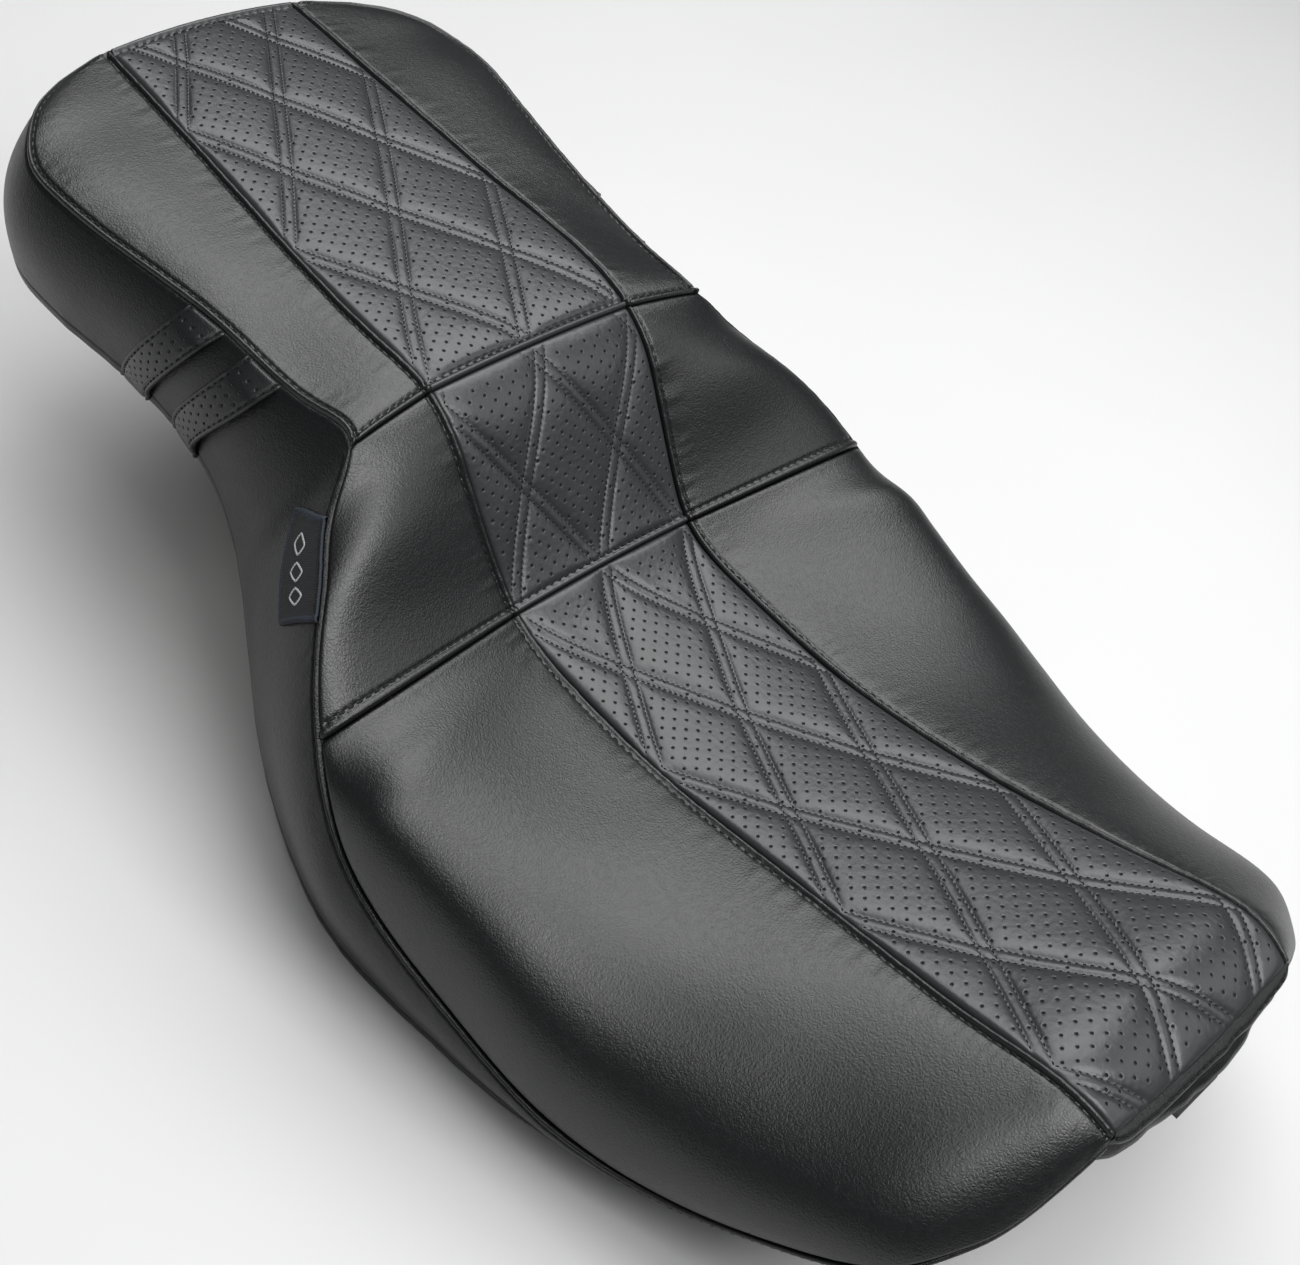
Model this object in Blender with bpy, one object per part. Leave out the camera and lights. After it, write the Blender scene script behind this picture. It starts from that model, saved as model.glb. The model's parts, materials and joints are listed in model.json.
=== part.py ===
"""Two-up motorcycle seat: a pressed pan, a moulded foam bun, quilted and plain cover panels, side skirts,
decorative straps, a woven tab and the hardware under the pan.  Metres, +Z up, nose towards -Y, tail towards +Y.

Every surface comes from three outlines that run from the nose to the tail: the long seam beside the quilted
panel, the outer edge seam and the hem.  They share one station v, the distance from the nose along the long
seam in decimetres.  Outlines are in millimetres about the middle of the rider cross seam.
"""
import math

import bmesh
import bpy
import numpy as np

MM = 0.001
ORIGIN_Y = 5.19          # moves the middle of the length onto y = 0
ORIGIN_Z = 127.75       # lifts the lowest hem onto z = 0

NOSE, RIDER_CROSS, PILLION_CROSS, TAIL = 0.0, 3.5, 4.6, 7.2

# v, y, z, half width of the quilted panel
SEAM_LINE = (
    (0.00, -352, 30, 66), (0.18, -335, 36, 68), (0.63, -290, 27, 67), (1.22, -230, 10, 62),
    (1.85, -165, -4, 58.5), (2.45, -105, -12, 58), (3.04, -45, -11, 58), (3.50, 0, 0, 58),
    (3.77, 20, 20, 59.5), (4.18, 45, 53, 61.5), (4.44, 62, 72.5, 62.3), (4.60, 76, 81, 62.8),
    (4.91, 105, 86.5, 65), (5.59, 170, 89, 63.5), (6.37, 250, 94.5, 59), (7.20, 336, 100, 55.5))

# v, x, y, z of the outer edge seam
EDGE_LINE = (
    (0.00, 66, -352, 30), (0.10, 98, -347, 10), (0.28, 128, -337, -7), (0.46, 147, -322, -22),
    (0.70, 157, -288, -56), (1.22, 173, -228, -85), (1.82, 184, -172, -85), (2.45, 185, -112, -73),
    (2.98, 185, -60, -57), (3.26, 183, -30, -37), (3.50, 180, -8, -3), (3.72, 167, 14, 19),
    (4.05, 146, 38, 38), (4.38, 126, 60, 54), (4.60, 111, 71, 74), (4.91, 110, 98, 76),
    (5.54, 115, 160, 79), (6.16, 127, 228, 83), (6.58, 133, 268, 86), (6.81, 130, 290, 88),
    (6.97, 119, 307, 92), (7.10, 95, 325, 95), (7.20, 55.5, 336, 100))

# v, x, y, z of the hem
HEM_LINE = (
    (0.00, 66, -347, 8), (0.10, 94, -343, -6), (0.28, 117, -332, -24), (0.46, 133, -315, -42),
    (0.70, 140, -282, -72), (1.22, 152, -226, -103), (1.82, 168, -170, -114), (2.45, 175, -112, -122),
    (2.98, 176, -62, -126), (3.50, 172, -10, -119), (3.83, 163, 28, -103), (4.27, 148, 68, -80),
    (4.60, 131, 104, -48), (4.99, 120, 132, -25), (5.54, 115, 172, -4), (6.16, 121, 228, 9),
    (6.68, 127, 275, 14), (6.97, 117, 314, 16), (7.10, 95, 333, 17), (7.20, 56, 346, 18))

# v, fall at the long seam and at the edge seam (degrees), pull of each end as a share of the chord
PAD_SHAPE = (
    (0.00, 20, 40, 0.33, 0.33), (0.35, 20, 58, 0.33, 0.33), (0.70, 14, 105, 0.40, 0.33),
    (1.22, 5, 105, 0.43, 0.38), (1.82, 1, 99, 0.57, 0.42), (2.45, -4, 92, 0.70, 0.56),
    (3.01, -7, 88, 0.85, 0.62), (3.29, -5, 75, 0.75, 0.47), (3.50, -1, 8, 0.33, 0.33),
    (4.05, -8, 32, 0.40, 0.40), (4.60, 5, 14, 0.33, 0.33), (5.64, 2, 24, 0.40, 0.40),
    (7.20, 4, 20, 0.35, 0.35))

# v, centre height of the pan
PAN_LINE = (
    (0.00, 15), (0.18, 8), (0.63, -14), (1.22, -45), (1.85, -62), (3.04, -70), (3.50, -67),
    (3.83, -45), (4.27, -8), (4.60, 20), (4.99, 32), (5.64, 41), (6.55, 44), (6.99, 38), (7.20, 24))

COVER = 1.4             # thickness of the cover material
GAP = 0.45              # clearance between neighbouring solids
QUILT_FOAM = 6.0        # sewn foam behind the quilted panels
FOAM_DEPTH_SIDE, FOAM_DEPTH_CENTRE = 6.5, 11.0      # bun below the outside of the cover
PAN_SHEET = 2.5         # pan thickness
LINER = 2.0             # carpet under the pan
RIM = 9.0               # height of the pan's flange above the hem
PAN_INSET = 7.0         # distance from the hem to the pan's side
FLANGE_START = 0.90     # share of the half width where the flat flange begins
HEM_RETURN = 11.0       # width of cover turned under the pan
HEM_DROP = 1.2          # how far the turned hem hangs below the hem line
HEM_RISE = 3.5          # height of the turned hem's inner edge above the hem line
SKIRT_START = 4.8       # gap between a top panel's edge and the skirt below it
SKIRT_FALL, HEM_FALL = 62.0, 97.0   # slope of the skirt at its two ends, in degrees
PANEL_JOINT = 0.55      # half of the gap between two sewn panels

STRAP_WIDTH = 24.0
STRAP_RISE = 3.2
STRAP_TOPS = (167.0, 129.0)     # y of each strap's middle at the edge seam, rear strap first
STRAP_RAKES = (40.0, 34.0)      # how far the foot of each strap lies behind its top
TAB_DEPTH = 36.0
TAB_FROM, TAB_TO = 3.87, 4.34
TAB_ROWS = (0.04, 0.27, 0.5, 0.75, 1.0)
TAB_SHEAR = 0.20                # swing of the tab's free edge along the seam, which squares the tab

TONGUE_WIDTH, TONGUE_SHEET, TONGUE_REACH = 30.0, 3.0, 3.0
BRACKET_WIDTH, BRACKET_SHEET, BRACKET_DROP = 56.0, 3.0, 14.0
BRACKET_FRONT, BRACKET_BEND, BRACKET_END = 238.0, 290.0, 336.0
BOLT_RADIUS, BOLT_HEAD, BOLT_X, BOLT_Y = 3.0, 9.0, 17.0, 262.0
BUMPER_RADIUS, BUMPER_HEIGHT = 13.0, 12.0
BUMPER_PLACES = ((75, -215), (95, -70), (62, 215))
BRACE_WIDTH, BRACE_SHEET = 24.0, 2.0
RIVET_RADIUS, RIVET_HEAD, RIVET_INSET, RIVET_SEAT = 3.2, 1.3, 7.5, -0.5
RIVET_STATIONS = (0.8, 1.45, 2.15, 2.85, 3.6, 5.4, 6.4)


class Outline:
    """Natural cubic curve through rows of (v, value, ...)."""

    def __init__(self, rows):
        table = np.array(rows, float)
        self.v = table[:, 0]
        self.value = table[:, 1:]
        count = len(self.v)
        step = np.diff(self.v)
        matrix = np.eye(count)
        right = np.zeros_like(self.value)
        for i in range(1, count - 1):
            matrix[i, i - 1] = step[i - 1]
            matrix[i, i] = 2 * (step[i - 1] + step[i])
            matrix[i, i + 1] = step[i]
            rise = (self.value[i + 1] - self.value[i]) / step[i]
            fall = (self.value[i] - self.value[i - 1]) / step[i - 1]
            right[i] = 6 * (rise - fall)
        self.bend = np.linalg.solve(matrix, right)

    def __call__(self, v):
        i = int(np.clip(np.searchsorted(self.v, v) - 1, 0, len(self.v) - 2))
        step = self.v[i + 1] - self.v[i]
        a = (self.v[i + 1] - v) / step
        b = (v - self.v[i]) / step
        straight = a * self.value[i] + b * self.value[i + 1]
        curve = (a ** 3 - a) * self.bend[i] + (b ** 3 - b) * self.bend[i + 1]
        return straight + curve * step * step / 6


seam_line = Outline(SEAM_LINE)
edge_line = Outline(EDGE_LINE)
hem_line = Outline(HEM_LINE)
pad_shape = Outline(PAD_SHAPE)
pan_line = Outline(PAN_LINE)


def seam_point(v):
    y, z, half = seam_line(v)
    return np.array([half, y, z])


def centre_point(u, v):
    """Point of the quilted strip; u runs from -1 to 1 between its two long seams."""
    half, y, z = seam_point(v)
    crown = (1 - u * u)
    bow = -2.0 * max(0.0, 1 - v / 0.2) + 2.5 * max(0.0, 1 - (TAIL - v) / 0.2)
    dip = -4.0 * max(0.0, 1 - v / 0.35) + 2.0
    return np.array([half * u, y + bow * crown, z + dip * crown])


def side_point(u, v):
    """Point of the pad beside the quilted strip; u runs from 0 at the long seam to 1 at the edge seam."""
    start = seam_point(v)
    end = np.array(edge_line(v))
    fall_in, fall_out, pull_in, pull_out = pad_shape(v)
    across = end[:2] - start[:2]
    chord = np.linalg.norm(end - start)
    flat = across / max(np.linalg.norm(across), 1e-6)
    a, b = math.radians(fall_in), math.radians(fall_out)
    first = start + pull_in * chord * np.array([*(flat * math.cos(a)), -math.sin(a)])
    last = end - pull_out * chord * np.array([*(flat * math.cos(b)), -math.sin(b)])
    w = 1 - u
    return w ** 3 * start + 3 * w * w * u * first + 3 * w * u * u * last + u ** 3 * end


def normal_of(surface, u, v, du=0.004, dv=0.006):
    """Outward normal of a surface function by differences, kept inside its range of v."""
    v0, v1 = max(NOSE, v - dv), min(TAIL, v + dv)
    along = surface(u, v1) - surface(u, v0)
    across = surface(u + du, v) - surface(u - du, v)
    n = np.cross(across, along)
    return n / np.linalg.norm(n)


def rows_between(first, last):
    """Station numbers of the rows between two cross seams, closer together at the rounded corners."""
    nose_rows = [0.0, 0.10, 0.28, 0.46, 0.68, 0.92]
    rider_rows = [1.2 + 0.35 * i for i in range(6)] + [3.22, 3.38, 3.5]
    lumbar_rows = [3.6, 3.72, 3.9, 4.08, 4.25, 4.4, 4.52, 4.6]
    pillion_rows = [4.8 + 0.33 * i for i in range(6)]
    tail_rows = [6.7, 6.87, 7.0, 7.1, 7.16, 7.2]
    every = nose_rows + rider_rows + lumbar_rows + pillion_rows + tail_rows
    inner = [v for v in every if first + 0.03 < v < last - 0.03]
    return [first] + inner + [last]


# ---------------------------------------------------------------- mesh helpers

def placed(p):
    return (p[0] * MM, (p[1] + ORIGIN_Y) * MM, (p[2] + ORIGIN_Z) * MM)


def material(name, colour, roughness, metallic=0.0):
    mat = bpy.data.materials.get(name)
    if mat is None:
        mat = bpy.data.materials.new(name)
        mat.use_nodes = True
        shader = mat.node_tree.nodes["Principled BSDF"]
        shader.inputs["Base Color"].default_value = (*colour, 1)
        shader.inputs["Roughness"].default_value = roughness
        shader.inputs["Metallic"].default_value = metallic
    return mat


MATERIALS = {
    "smooth_vinyl": ((0.030, 0.031, 0.032), 0.42, 0.0),
    "perforated_vinyl": ((0.026, 0.027, 0.028), 0.48, 0.0),
    "seat_foam": ((0.62, 0.58, 0.44), 0.95, 0.0),
    "quilt_foam": ((0.30, 0.30, 0.31), 0.95, 0.0),
    "pan_plastic": ((0.020, 0.020, 0.021), 0.55, 0.0),
    "carpet": ((0.035, 0.035, 0.036), 0.98, 0.0),
    "zinc_steel": ((0.56, 0.56, 0.54), 0.38, 1.0),
    "black_steel": ((0.03, 0.03, 0.03), 0.40, 0.6),
    "rubber": ((0.018, 0.018, 0.018), 0.85, 0.0),
    "woven_label": ((0.020, 0.024, 0.034), 0.80, 0.0),
}


def make_object(name, bm, slot, smooth=True):
    bmesh.ops.recalc_face_normals(bm, faces=bm.faces)
    mesh = bpy.data.meshes.new(name)
    bm.to_mesh(mesh)
    bm.free()
    obj = bpy.data.objects.new(name, mesh)
    bpy.context.scene.collection.objects.link(obj)
    mesh.materials.append(material(slot, *MATERIALS[slot]))
    if smooth:
        mesh.shade_smooth()
        mesh.set_sharp_from_angle(angle=math.radians(40))
    return obj


def add_solid(bm, upper, lower):
    """Closed solid between two grids of points that have the same number of rows and columns."""
    rows, cols = len(upper), len(upper[0])
    top = [[bm.verts.new(placed(p)) for p in row] for row in upper]
    low = [[bm.verts.new(placed(p)) for p in row] for row in lower]
    for i in range(rows - 1):
        for j in range(cols - 1):
            bm.faces.new((top[i][j], top[i][j + 1], top[i + 1][j + 1], top[i + 1][j]))
            bm.faces.new((low[i][j], low[i + 1][j], low[i + 1][j + 1], low[i][j + 1]))
    ring = [(0, j) for j in range(cols)] + [(i, cols - 1) for i in range(1, rows)]
    ring += [(rows - 1, j) for j in range(cols - 2, -1, -1)] + [(i, 0) for i in range(rows - 2, 0, -1)]
    for (a, b), (c, d) in zip(ring, ring[1:] + ring[:1]):
        bm.faces.new((top[c][d], top[a][b], low[a][b], low[c][d]))


def solid(name, upper, lower, slot):
    bm = bmesh.new()
    add_solid(bm, upper, lower)
    return make_object(name, bm, slot)


def mirrored(grid, side):
    return [[np.array([side * p[0], p[1], p[2]]) for p in row] for row in grid]


def cylinder(name, centre, radius, height, slot, sides=20, top_radius=None):
    """Upright round piece whose base centre is given in outline millimetres."""
    bm = bmesh.new()
    bmesh.ops.create_cone(bm, cap_ends=True, segments=sides, radius1=radius * MM,
                          radius2=(top_radius or radius) * MM, depth=height * MM)
    obj = make_object(name, bm, slot)
    obj.location = placed((centre[0], centre[1], centre[2] + height / 2))
    return obj


def cut(obj, cutter):
    cutter.hide_render = True
    cutter.display_type = 'WIRE'
    change = obj.modifiers.new("hole", 'BOOLEAN')
    change.operation = 'DIFFERENCE'
    change.solver = 'EXACT'
    change.object = cutter


# ---------------------------------------------------------------- pan, liner and foam

def flange_share(u):
    """Height share of the pan's arch: 1 in the middle, 0 on the flat flange."""
    t = min(1.0, abs(u) / FLANGE_START)
    return 1 - t ** 3


def pan_point(u, v, drop=0.0):
    x, y_hem, z_hem = hem_line(v) - PAN_INSET * outward(hem_line, v)
    y_mid = seam_line(v)[0]
    rim = z_hem + RIM
    height = rim + (pan_line(v)[0] - rim) * flange_share(u)
    sweep = min(1.0, abs(u) / FLANGE_START) ** 2
    return np.array([x * u, y_mid + (y_hem - y_mid) * sweep, height - drop])


PAN_ROWS = rows_between(0.10, 7.16)
HALF_COLUMNS = [0.25, 0.48, 0.66, 0.80, 0.90, 0.95, 1]
PAN_COLUMNS = [-u for u in reversed(HALF_COLUMNS)] + [0] + HALF_COLUMNS


def pan_grid(drop, limit=1.0, rows=PAN_ROWS):
    columns = [u for u in PAN_COLUMNS if abs(u) <= limit]
    return [[pan_point(u, v, drop) for u in columns] for v in rows]


def build_pan():
    pan = solid("base_pan", pan_grid(0), pan_grid(PAN_SHEET), "pan_plastic")
    liner_top = PAN_SHEET + GAP
    rows = rows_between(0.28, 7.0)
    liner = solid("carpet_liner", pan_grid(liner_top, 0.9, rows=rows),
                  pan_grid(liner_top + LINER, 0.9, rows=rows), "carpet")
    return pan, liner


def foam_depth(u_side):
    """Cover-to-foam distance: deep under the quilted strip, shallow under the plain pads."""
    return FOAM_DEPTH_SIDE if u_side > 0 else FOAM_DEPTH_CENTRE


def build_foam():
    """One moulded bun from edge seam to edge seam, standing on the pan."""
    upper = []
    for v in PAN_ROWS:
        half = []
        for u in (0.0, 0.5, 0.98):
            half.append(centre_point(u, v) - foam_depth(0) * normal_of(centre_point, u, v))
        for u in (0.06, 0.3, 0.55, 0.8):
            half.append(side_point(u, v) - foam_depth(1) * normal_of(side_point, u, v))
        half.append(foam_corner(v))
        left = [np.array([-p[0], p[1], p[2]]) for p in half[:0:-1]]
        upper.append(left + half)
    columns = [max(-0.98, min(0.98, u)) for u in PAN_COLUMNS]
    lower = [[pan_point(u, v, -GAP - 0.4) for u in columns] for v in PAN_ROWS]
    return solid("foam_bun", upper, lower, "seat_foam")


def outward(line, v):
    """Horizontal direction out of the seat, square to an outline in plan."""
    v0, v1 = max(NOSE, v - 0.012), min(TAIL, v + 0.012)
    along = line(v1)[:2] - line(v0)[:2]
    out = np.array([along[1], -along[0], 0])
    return out / np.linalg.norm(out)


def foam_corner(v):
    out = outward(edge_line, v)
    top = normal_of(side_point, 0.96, v)
    depth = foam_depth(1)
    return side_point(0.985, v) - depth * top - depth * out


# ---------------------------------------------------------------- cover panels

def panel_grid(surface, columns, rows, depth):
    return [[surface(u, v) - depth * normal_of(surface, u, v) for u in columns] for v in rows]


def build_section(name, first, last):
    """The three panels of one section, and the foam sewn behind its quilted panel."""
    joint = PANEL_JOINT / 100
    rows = rows_between(first + joint, last - joint)
    share = 1 - PANEL_JOINT / 60
    columns = [share * u for u in (-1, -0.5, 0, 0.5, 1)]
    solid(name + "_centre_cover", panel_grid(centre_point, columns, rows, 0),
          panel_grid(centre_point, columns, rows, COVER), "perforated_vinyl")
    inner_rows = rows_between(first + 3 * joint, last - 3 * joint)
    inner = [0.97 * u for u in columns]
    start = COVER + GAP + 0.4
    solid(name + "_quilt_foam", panel_grid(centre_point, inner, inner_rows, start),
          panel_grid(centre_point, inner, inner_rows, start + QUILT_FOAM), "quilt_foam")
    pad_columns = [0.006, 0.15, 0.3, 0.45, 0.6, 0.74, 0.87, 0.994]
    outer = panel_grid(side_point, pad_columns, rows, 0)
    inside = panel_grid(side_point, pad_columns, rows, COVER)
    for side, word in ((1, "left"), (-1, "right")):
        solid(name + "_" + word + "_cover", mirrored(outer, side), mirrored(inside, side), "smooth_vinyl")


# ---------------------------------------------------------------- skirts and nose band

def skirt_curve(top, foot, out, start_fall, end_fall, steps):
    """Points down a skirt from the edge seam to the hem, bulging along the horizontal direction out."""
    chord = np.linalg.norm(foot - top)
    a, b = math.radians(start_fall), math.radians(end_fall)
    first = top + 0.38 * chord * (out * math.cos(a) + np.array([0, 0, -math.sin(a)]))
    last = foot - 0.38 * chord * (out * math.cos(b) + np.array([0, 0, -math.sin(b)]))
    points = []
    for i in range(steps + 1):
        u = i / steps
        w = 1 - u
        points.append(w ** 3 * top + 3 * w * w * u * first + 3 * w * u * u * last + u ** 3 * foot)
    return points


def skirt_profile(top, foot, out, hem_out, turned_under=HEM_RETURN, steps=6):
    """Outer line of a skirt section with its turned-under hem, and the same line moved in by the cover."""
    height = np.linalg.norm(foot - top)
    first = top + SKIRT_START * unit(foot - top) * min(1.0, height / 25)
    line = skirt_curve(first, foot, out, SKIRT_FALL, HEM_FALL, steps)
    outs = [unit(out * (1 - i / steps) + hem_out * i / steps) for i in range(steps + 1)]
    for inwards, rise in ((2.5, -HEM_DROP), (turned_under, HEM_RISE)):
        line.append(foot - inwards * hem_out + np.array([0, 0, rise]))
        outs.append(hem_out)
    flat = [(float(np.dot(p - foot, o)), float(p[2])) for p, o in zip(line, outs)]
    inner = []
    for i, p in enumerate(line):
        before = np.array(flat[max(i - 1, 0)])
        here = np.array(flat[i])
        after = np.array(flat[min(i + 1, len(flat) - 1)])
        turn = unit(unit(here - before) + unit(after - here))
        side = np.array([turn[1], -turn[0]])
        stretch = 1.0 / max(0.7, float(np.dot(unit(after - here) if i < len(flat) - 1 else turn, turn)))
        move = side * COVER * stretch
        inner.append(p + outs[i] * move[0] + np.array([0, 0, move[1]]))
    return line, inner


def unit(p):
    length = np.linalg.norm(p)
    return p / length if length > 1e-9 else p * 0


def tail_edge(x):
    """Edge seam and hem across the tail, for 0 <= x <= the half width there."""
    top = centre_point(x / seam_line(TAIL)[2], TAIL)
    side = hem_line(TAIL)
    share = x / seam_line(TAIL)[2]
    foot = np.array([side[0] * share, side[1] + 3.5 * (1 - share ** 2), side[2]])
    return top, foot


def nose_edge(x):
    top = centre_point(x / seam_line(NOSE)[2], NOSE)
    side = hem_line(NOSE)
    share = x / seam_line(NOSE)[2]
    foot = np.array([side[0] * share, side[1] - 3.0 * (1 - share ** 2), side[2] + 3.0 * (1 - share ** 2)])
    return top, foot


def build_skirts():
    outer, inner = [], []
    for v in rows_between(0.014, TAIL):
        top, foot = np.array(edge_line(v)), np.array(hem_line(v))
        turned_under = HEM_RETURN * min(1.0, 0.35 + 0.6 * v)
        line, back = skirt_profile(top, foot, outward(edge_line, v), outward(hem_line, v), turned_under)
        outer.append(line)
        inner.append(back)
    end_out = outward(edge_line, TAIL)
    half = seam_line(TAIL)[2]
    for x in (0.75 * half, 0.5 * half, 0.25 * half, PANEL_JOINT):
        top, foot = tail_edge(x)
        share = x / half
        out = unit(share * end_out + (1 - share) * np.array([0, 1.0, 0]))
        line, back = skirt_profile(top, foot, out, out)
        outer.append(line)
        inner.append(back)
    for side, word in ((1, "left"), (-1, "right")):
        solid("skirt_" + word, mirrored(outer, side), mirrored(inner, side), "smooth_vinyl")
    outer, inner = [], []
    half = seam_line(NOSE)[2] - 0.5
    for share in (-1, -0.75, -0.5, -0.25, 0, 0.25, 0.5, 0.75, 1):
        top, foot = nose_edge(half * share)
        lean = outward(edge_line, NOSE)
        out = unit(np.array([share * abs(lean[0]) * 0.5, -1.0, 0]))
        line, back = skirt_profile(top, foot, out, out, 0.35 * HEM_RETURN)
        outer.append(line)
        inner.append(back)
    solid("nose_band", outer, inner, "smooth_vinyl")


def skirt_point(v, h, lift):
    """Point of the skirt at share h of its height, moved outwards by lift."""
    top, foot = np.array(edge_line(v)), np.array(hem_line(v))
    out = outward(edge_line, v)
    first = top + SKIRT_START * unit(foot - top)
    line = skirt_curve(first, foot, out, SKIRT_FALL, HEM_FALL, 24)
    at = h * 24
    i = min(int(at), 23)
    p = line[i] + (line[i + 1] - line[i]) * (at - i)
    down = unit(line[i + 1] - line[i])
    along = edge_line(v + 0.006) - edge_line(v - 0.006)
    n = unit(np.cross(down, along))
    if np.dot(n, out) < 0:
        n = -n
    return p + lift * n


def station_at(line, column, value, low, high):
    """Station number where an outline's column reaches a value, by halving."""
    for _ in range(40):
        mid = (low + high) / 2
        if line(mid)[column] < value:
            low = mid
        else:
            high = mid
    return (low + high) / 2


def strap_grid(middle, rake, lift_middle, lift_edge):
    rows = []
    for i in range(9):
        h = 0.02 + 0.95 * i / 8
        row = []
        for share in (-1, -0.8, 0, 0.8, 1):
            y = middle + rake * h + share * STRAP_WIDTH / 2
            v = station_at(edge_line, 1, y, PILLION_CROSS, TAIL)
            lift = lift_edge if abs(share) == 1 else lift_middle
            row.append(skirt_point(v, h, lift))
        rows.append(row)
    return rows


def build_straps():
    for middle, rake, place in zip(STRAP_TOPS, STRAP_RAKES, ("rear", "front")):
        outer = strap_grid(middle, rake, STRAP_RISE + 1.2, 2.3)
        inner = strap_grid(middle, rake, 1.2, 1.2)
        for side, word in ((1, "left"), (-1, "right")):
            name = "strap_" + place + "_" + word
            solid(name, mirrored(outer, side), mirrored(inner, side), "perforated_vinyl")


def build_tab():
    """Folded woven tab sewn into the edge seam on the right side."""
    outer, inner = [], []
    for i in range(9):
        v = TAB_FROM + (TAB_TO - TAB_FROM) * i / 8
        height = np.linalg.norm(np.array(hem_line(v)) - np.array(edge_line(v)))
        outer.append([skirt_point(v + TAB_SHEAR * h, h * TAB_DEPTH / height, 2.6) for h in TAB_ROWS])
        inner.append([skirt_point(v + TAB_SHEAR * h, h * TAB_DEPTH / height, 1.3) for h in TAB_ROWS])
    solid("woven_tab", mirrored(outer, -1), mirrored(inner, -1), "woven_label")


# ---------------------------------------------------------------- hardware under the pan

HARDWARE = PAN_SHEET + LINER + 2 * GAP      # distance from the pan's top face to hardware under the liner


def pan_height(x, y, drop):
    """Height of the pan at a place in plan, found by walking along its rows."""
    v = station_at(seam_line, 0, y, NOSE, TAIL)
    for _ in range(6):
        u = min(1.0, abs(x) / (hem_line(v)[0] - PAN_INSET))
        shift = (hem_line(v)[1] - seam_line(v)[0]) * min(1.0, u / FLANGE_START) ** 2
        v = station_at(seam_line, 0, y - shift, NOSE, TAIL)
    return pan_point(u, v, drop)[2]


def strip(name, points, half_width, sheet, slot):
    """Plate of constant thickness that follows points (y, z) of its upper face."""
    upper, lower = [], []
    for i, (y, z) in enumerate(points):
        before = np.array(points[max(i - 1, 0)], float)
        after = np.array(points[min(i + 1, len(points) - 1)], float)
        along = unit(after - before)
        drop = np.array([along[1], -along[0]]) * sheet
        upper.append([np.array([x, y, z]) for x in (-half_width, half_width)])
        lower.append([np.array([x, y + drop[0], z + drop[1]]) for x in (-half_width, half_width)])
    return solid(name, upper, lower, slot)


def build_tongue():
    """Hook plate at the nose: riveted under the pan, its flat end reaching past the nose band."""
    flat_z = 4.0
    points = [(-359 - TONGUE_REACH, flat_z), (-348, flat_z), (-346, flat_z - 1.5)]
    for y in (-330, -315, -300, -285):
        points.append((y, pan_height(0, y, HARDWARE + 0.3)))
    points[2] = (-341, min(flat_z, points[3][1] + 2.5))
    tongue = strip("front_tongue", points, TONGUE_WIDTH / 2, TONGUE_SHEET, "zinc_steel")
    for side, word in ((1, "left"), (-1, "right")):
        y = -300
        base = pan_height(0, y, HARDWARE + 0.3) - TONGUE_SHEET - 5.2
        cylinder("tongue_rivet_" + word, (side * 9.0, y, base), 2.6, 1.8, "zinc_steel", 14, 4.2)
    return tongue


def build_bracket(pan, liner, foam):
    """Stepped rear bracket with two carriage bolts through the pan, washers and nuts."""
    top = min(pan_height(0, y, HARDWARE + 0.3) for y in (BRACKET_FRONT, 262, BRACKET_BEND))
    points = [(BRACKET_FRONT, top), (BRACKET_BEND, top), (BRACKET_BEND + 10, top - BRACKET_DROP),
              (BRACKET_END, top - BRACKET_DROP)]
    bracket = strip("rear_bracket", points, BRACKET_WIDTH / 2, BRACKET_SHEET, "zinc_steel")
    hole = cylinder("bracket_screw_hole", (0, 321, top - 40), 4.3, 60, "zinc_steel", 24)
    cut(bracket, hole)
    for side, word in ((1, "left"), (-1, "right")):
        x = side * BOLT_X
        face = pan_height(x, BOLT_Y, 0) + 0.6
        under = top - BRACKET_SHEET - GAP
        bore = cylinder("bolt_bore_" + word, (x, BOLT_Y, top - 30), BOLT_RADIUS + 0.5, 70, "zinc_steel", 16)
        for piece in (pan, liner, bracket):
            cut(piece, bore)
        pocket = cylinder("foam_pocket_" + word, (x, BOLT_Y, face - 20), BOLT_HEAD + 1.5, 24.5, "zinc_steel", 20)
        cut(foam, pocket)
        build_bolt("bracket_bolt_" + word, x, face, under)
        ring("bracket_washer_" + word, (x, BOLT_Y, under - 1.5), BOLT_RADIUS + 0.5, 7.0, 1.5, 20)
        ring("bracket_nut_" + word, (x, BOLT_Y, under - 1.5 - GAP - 5.0), BOLT_RADIUS + 0.45, 5.8, 5.0, 6)


def build_bolt(name, x, face, under):
    """Turned carriage bolt: domed head on the pan, shank down through the nut."""
    end = under - 12.0
    profile = ((0, face + 2.9), (BOLT_HEAD * 0.6, face + 2.3), (BOLT_HEAD, face + 0.7), (BOLT_HEAD, face),
               (BOLT_RADIUS, face), (BOLT_RADIUS, end + 0.6), (BOLT_RADIUS - 0.6, end), (0, end))
    turned(name, (x, BOLT_Y), profile, "zinc_steel", 16)


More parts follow.
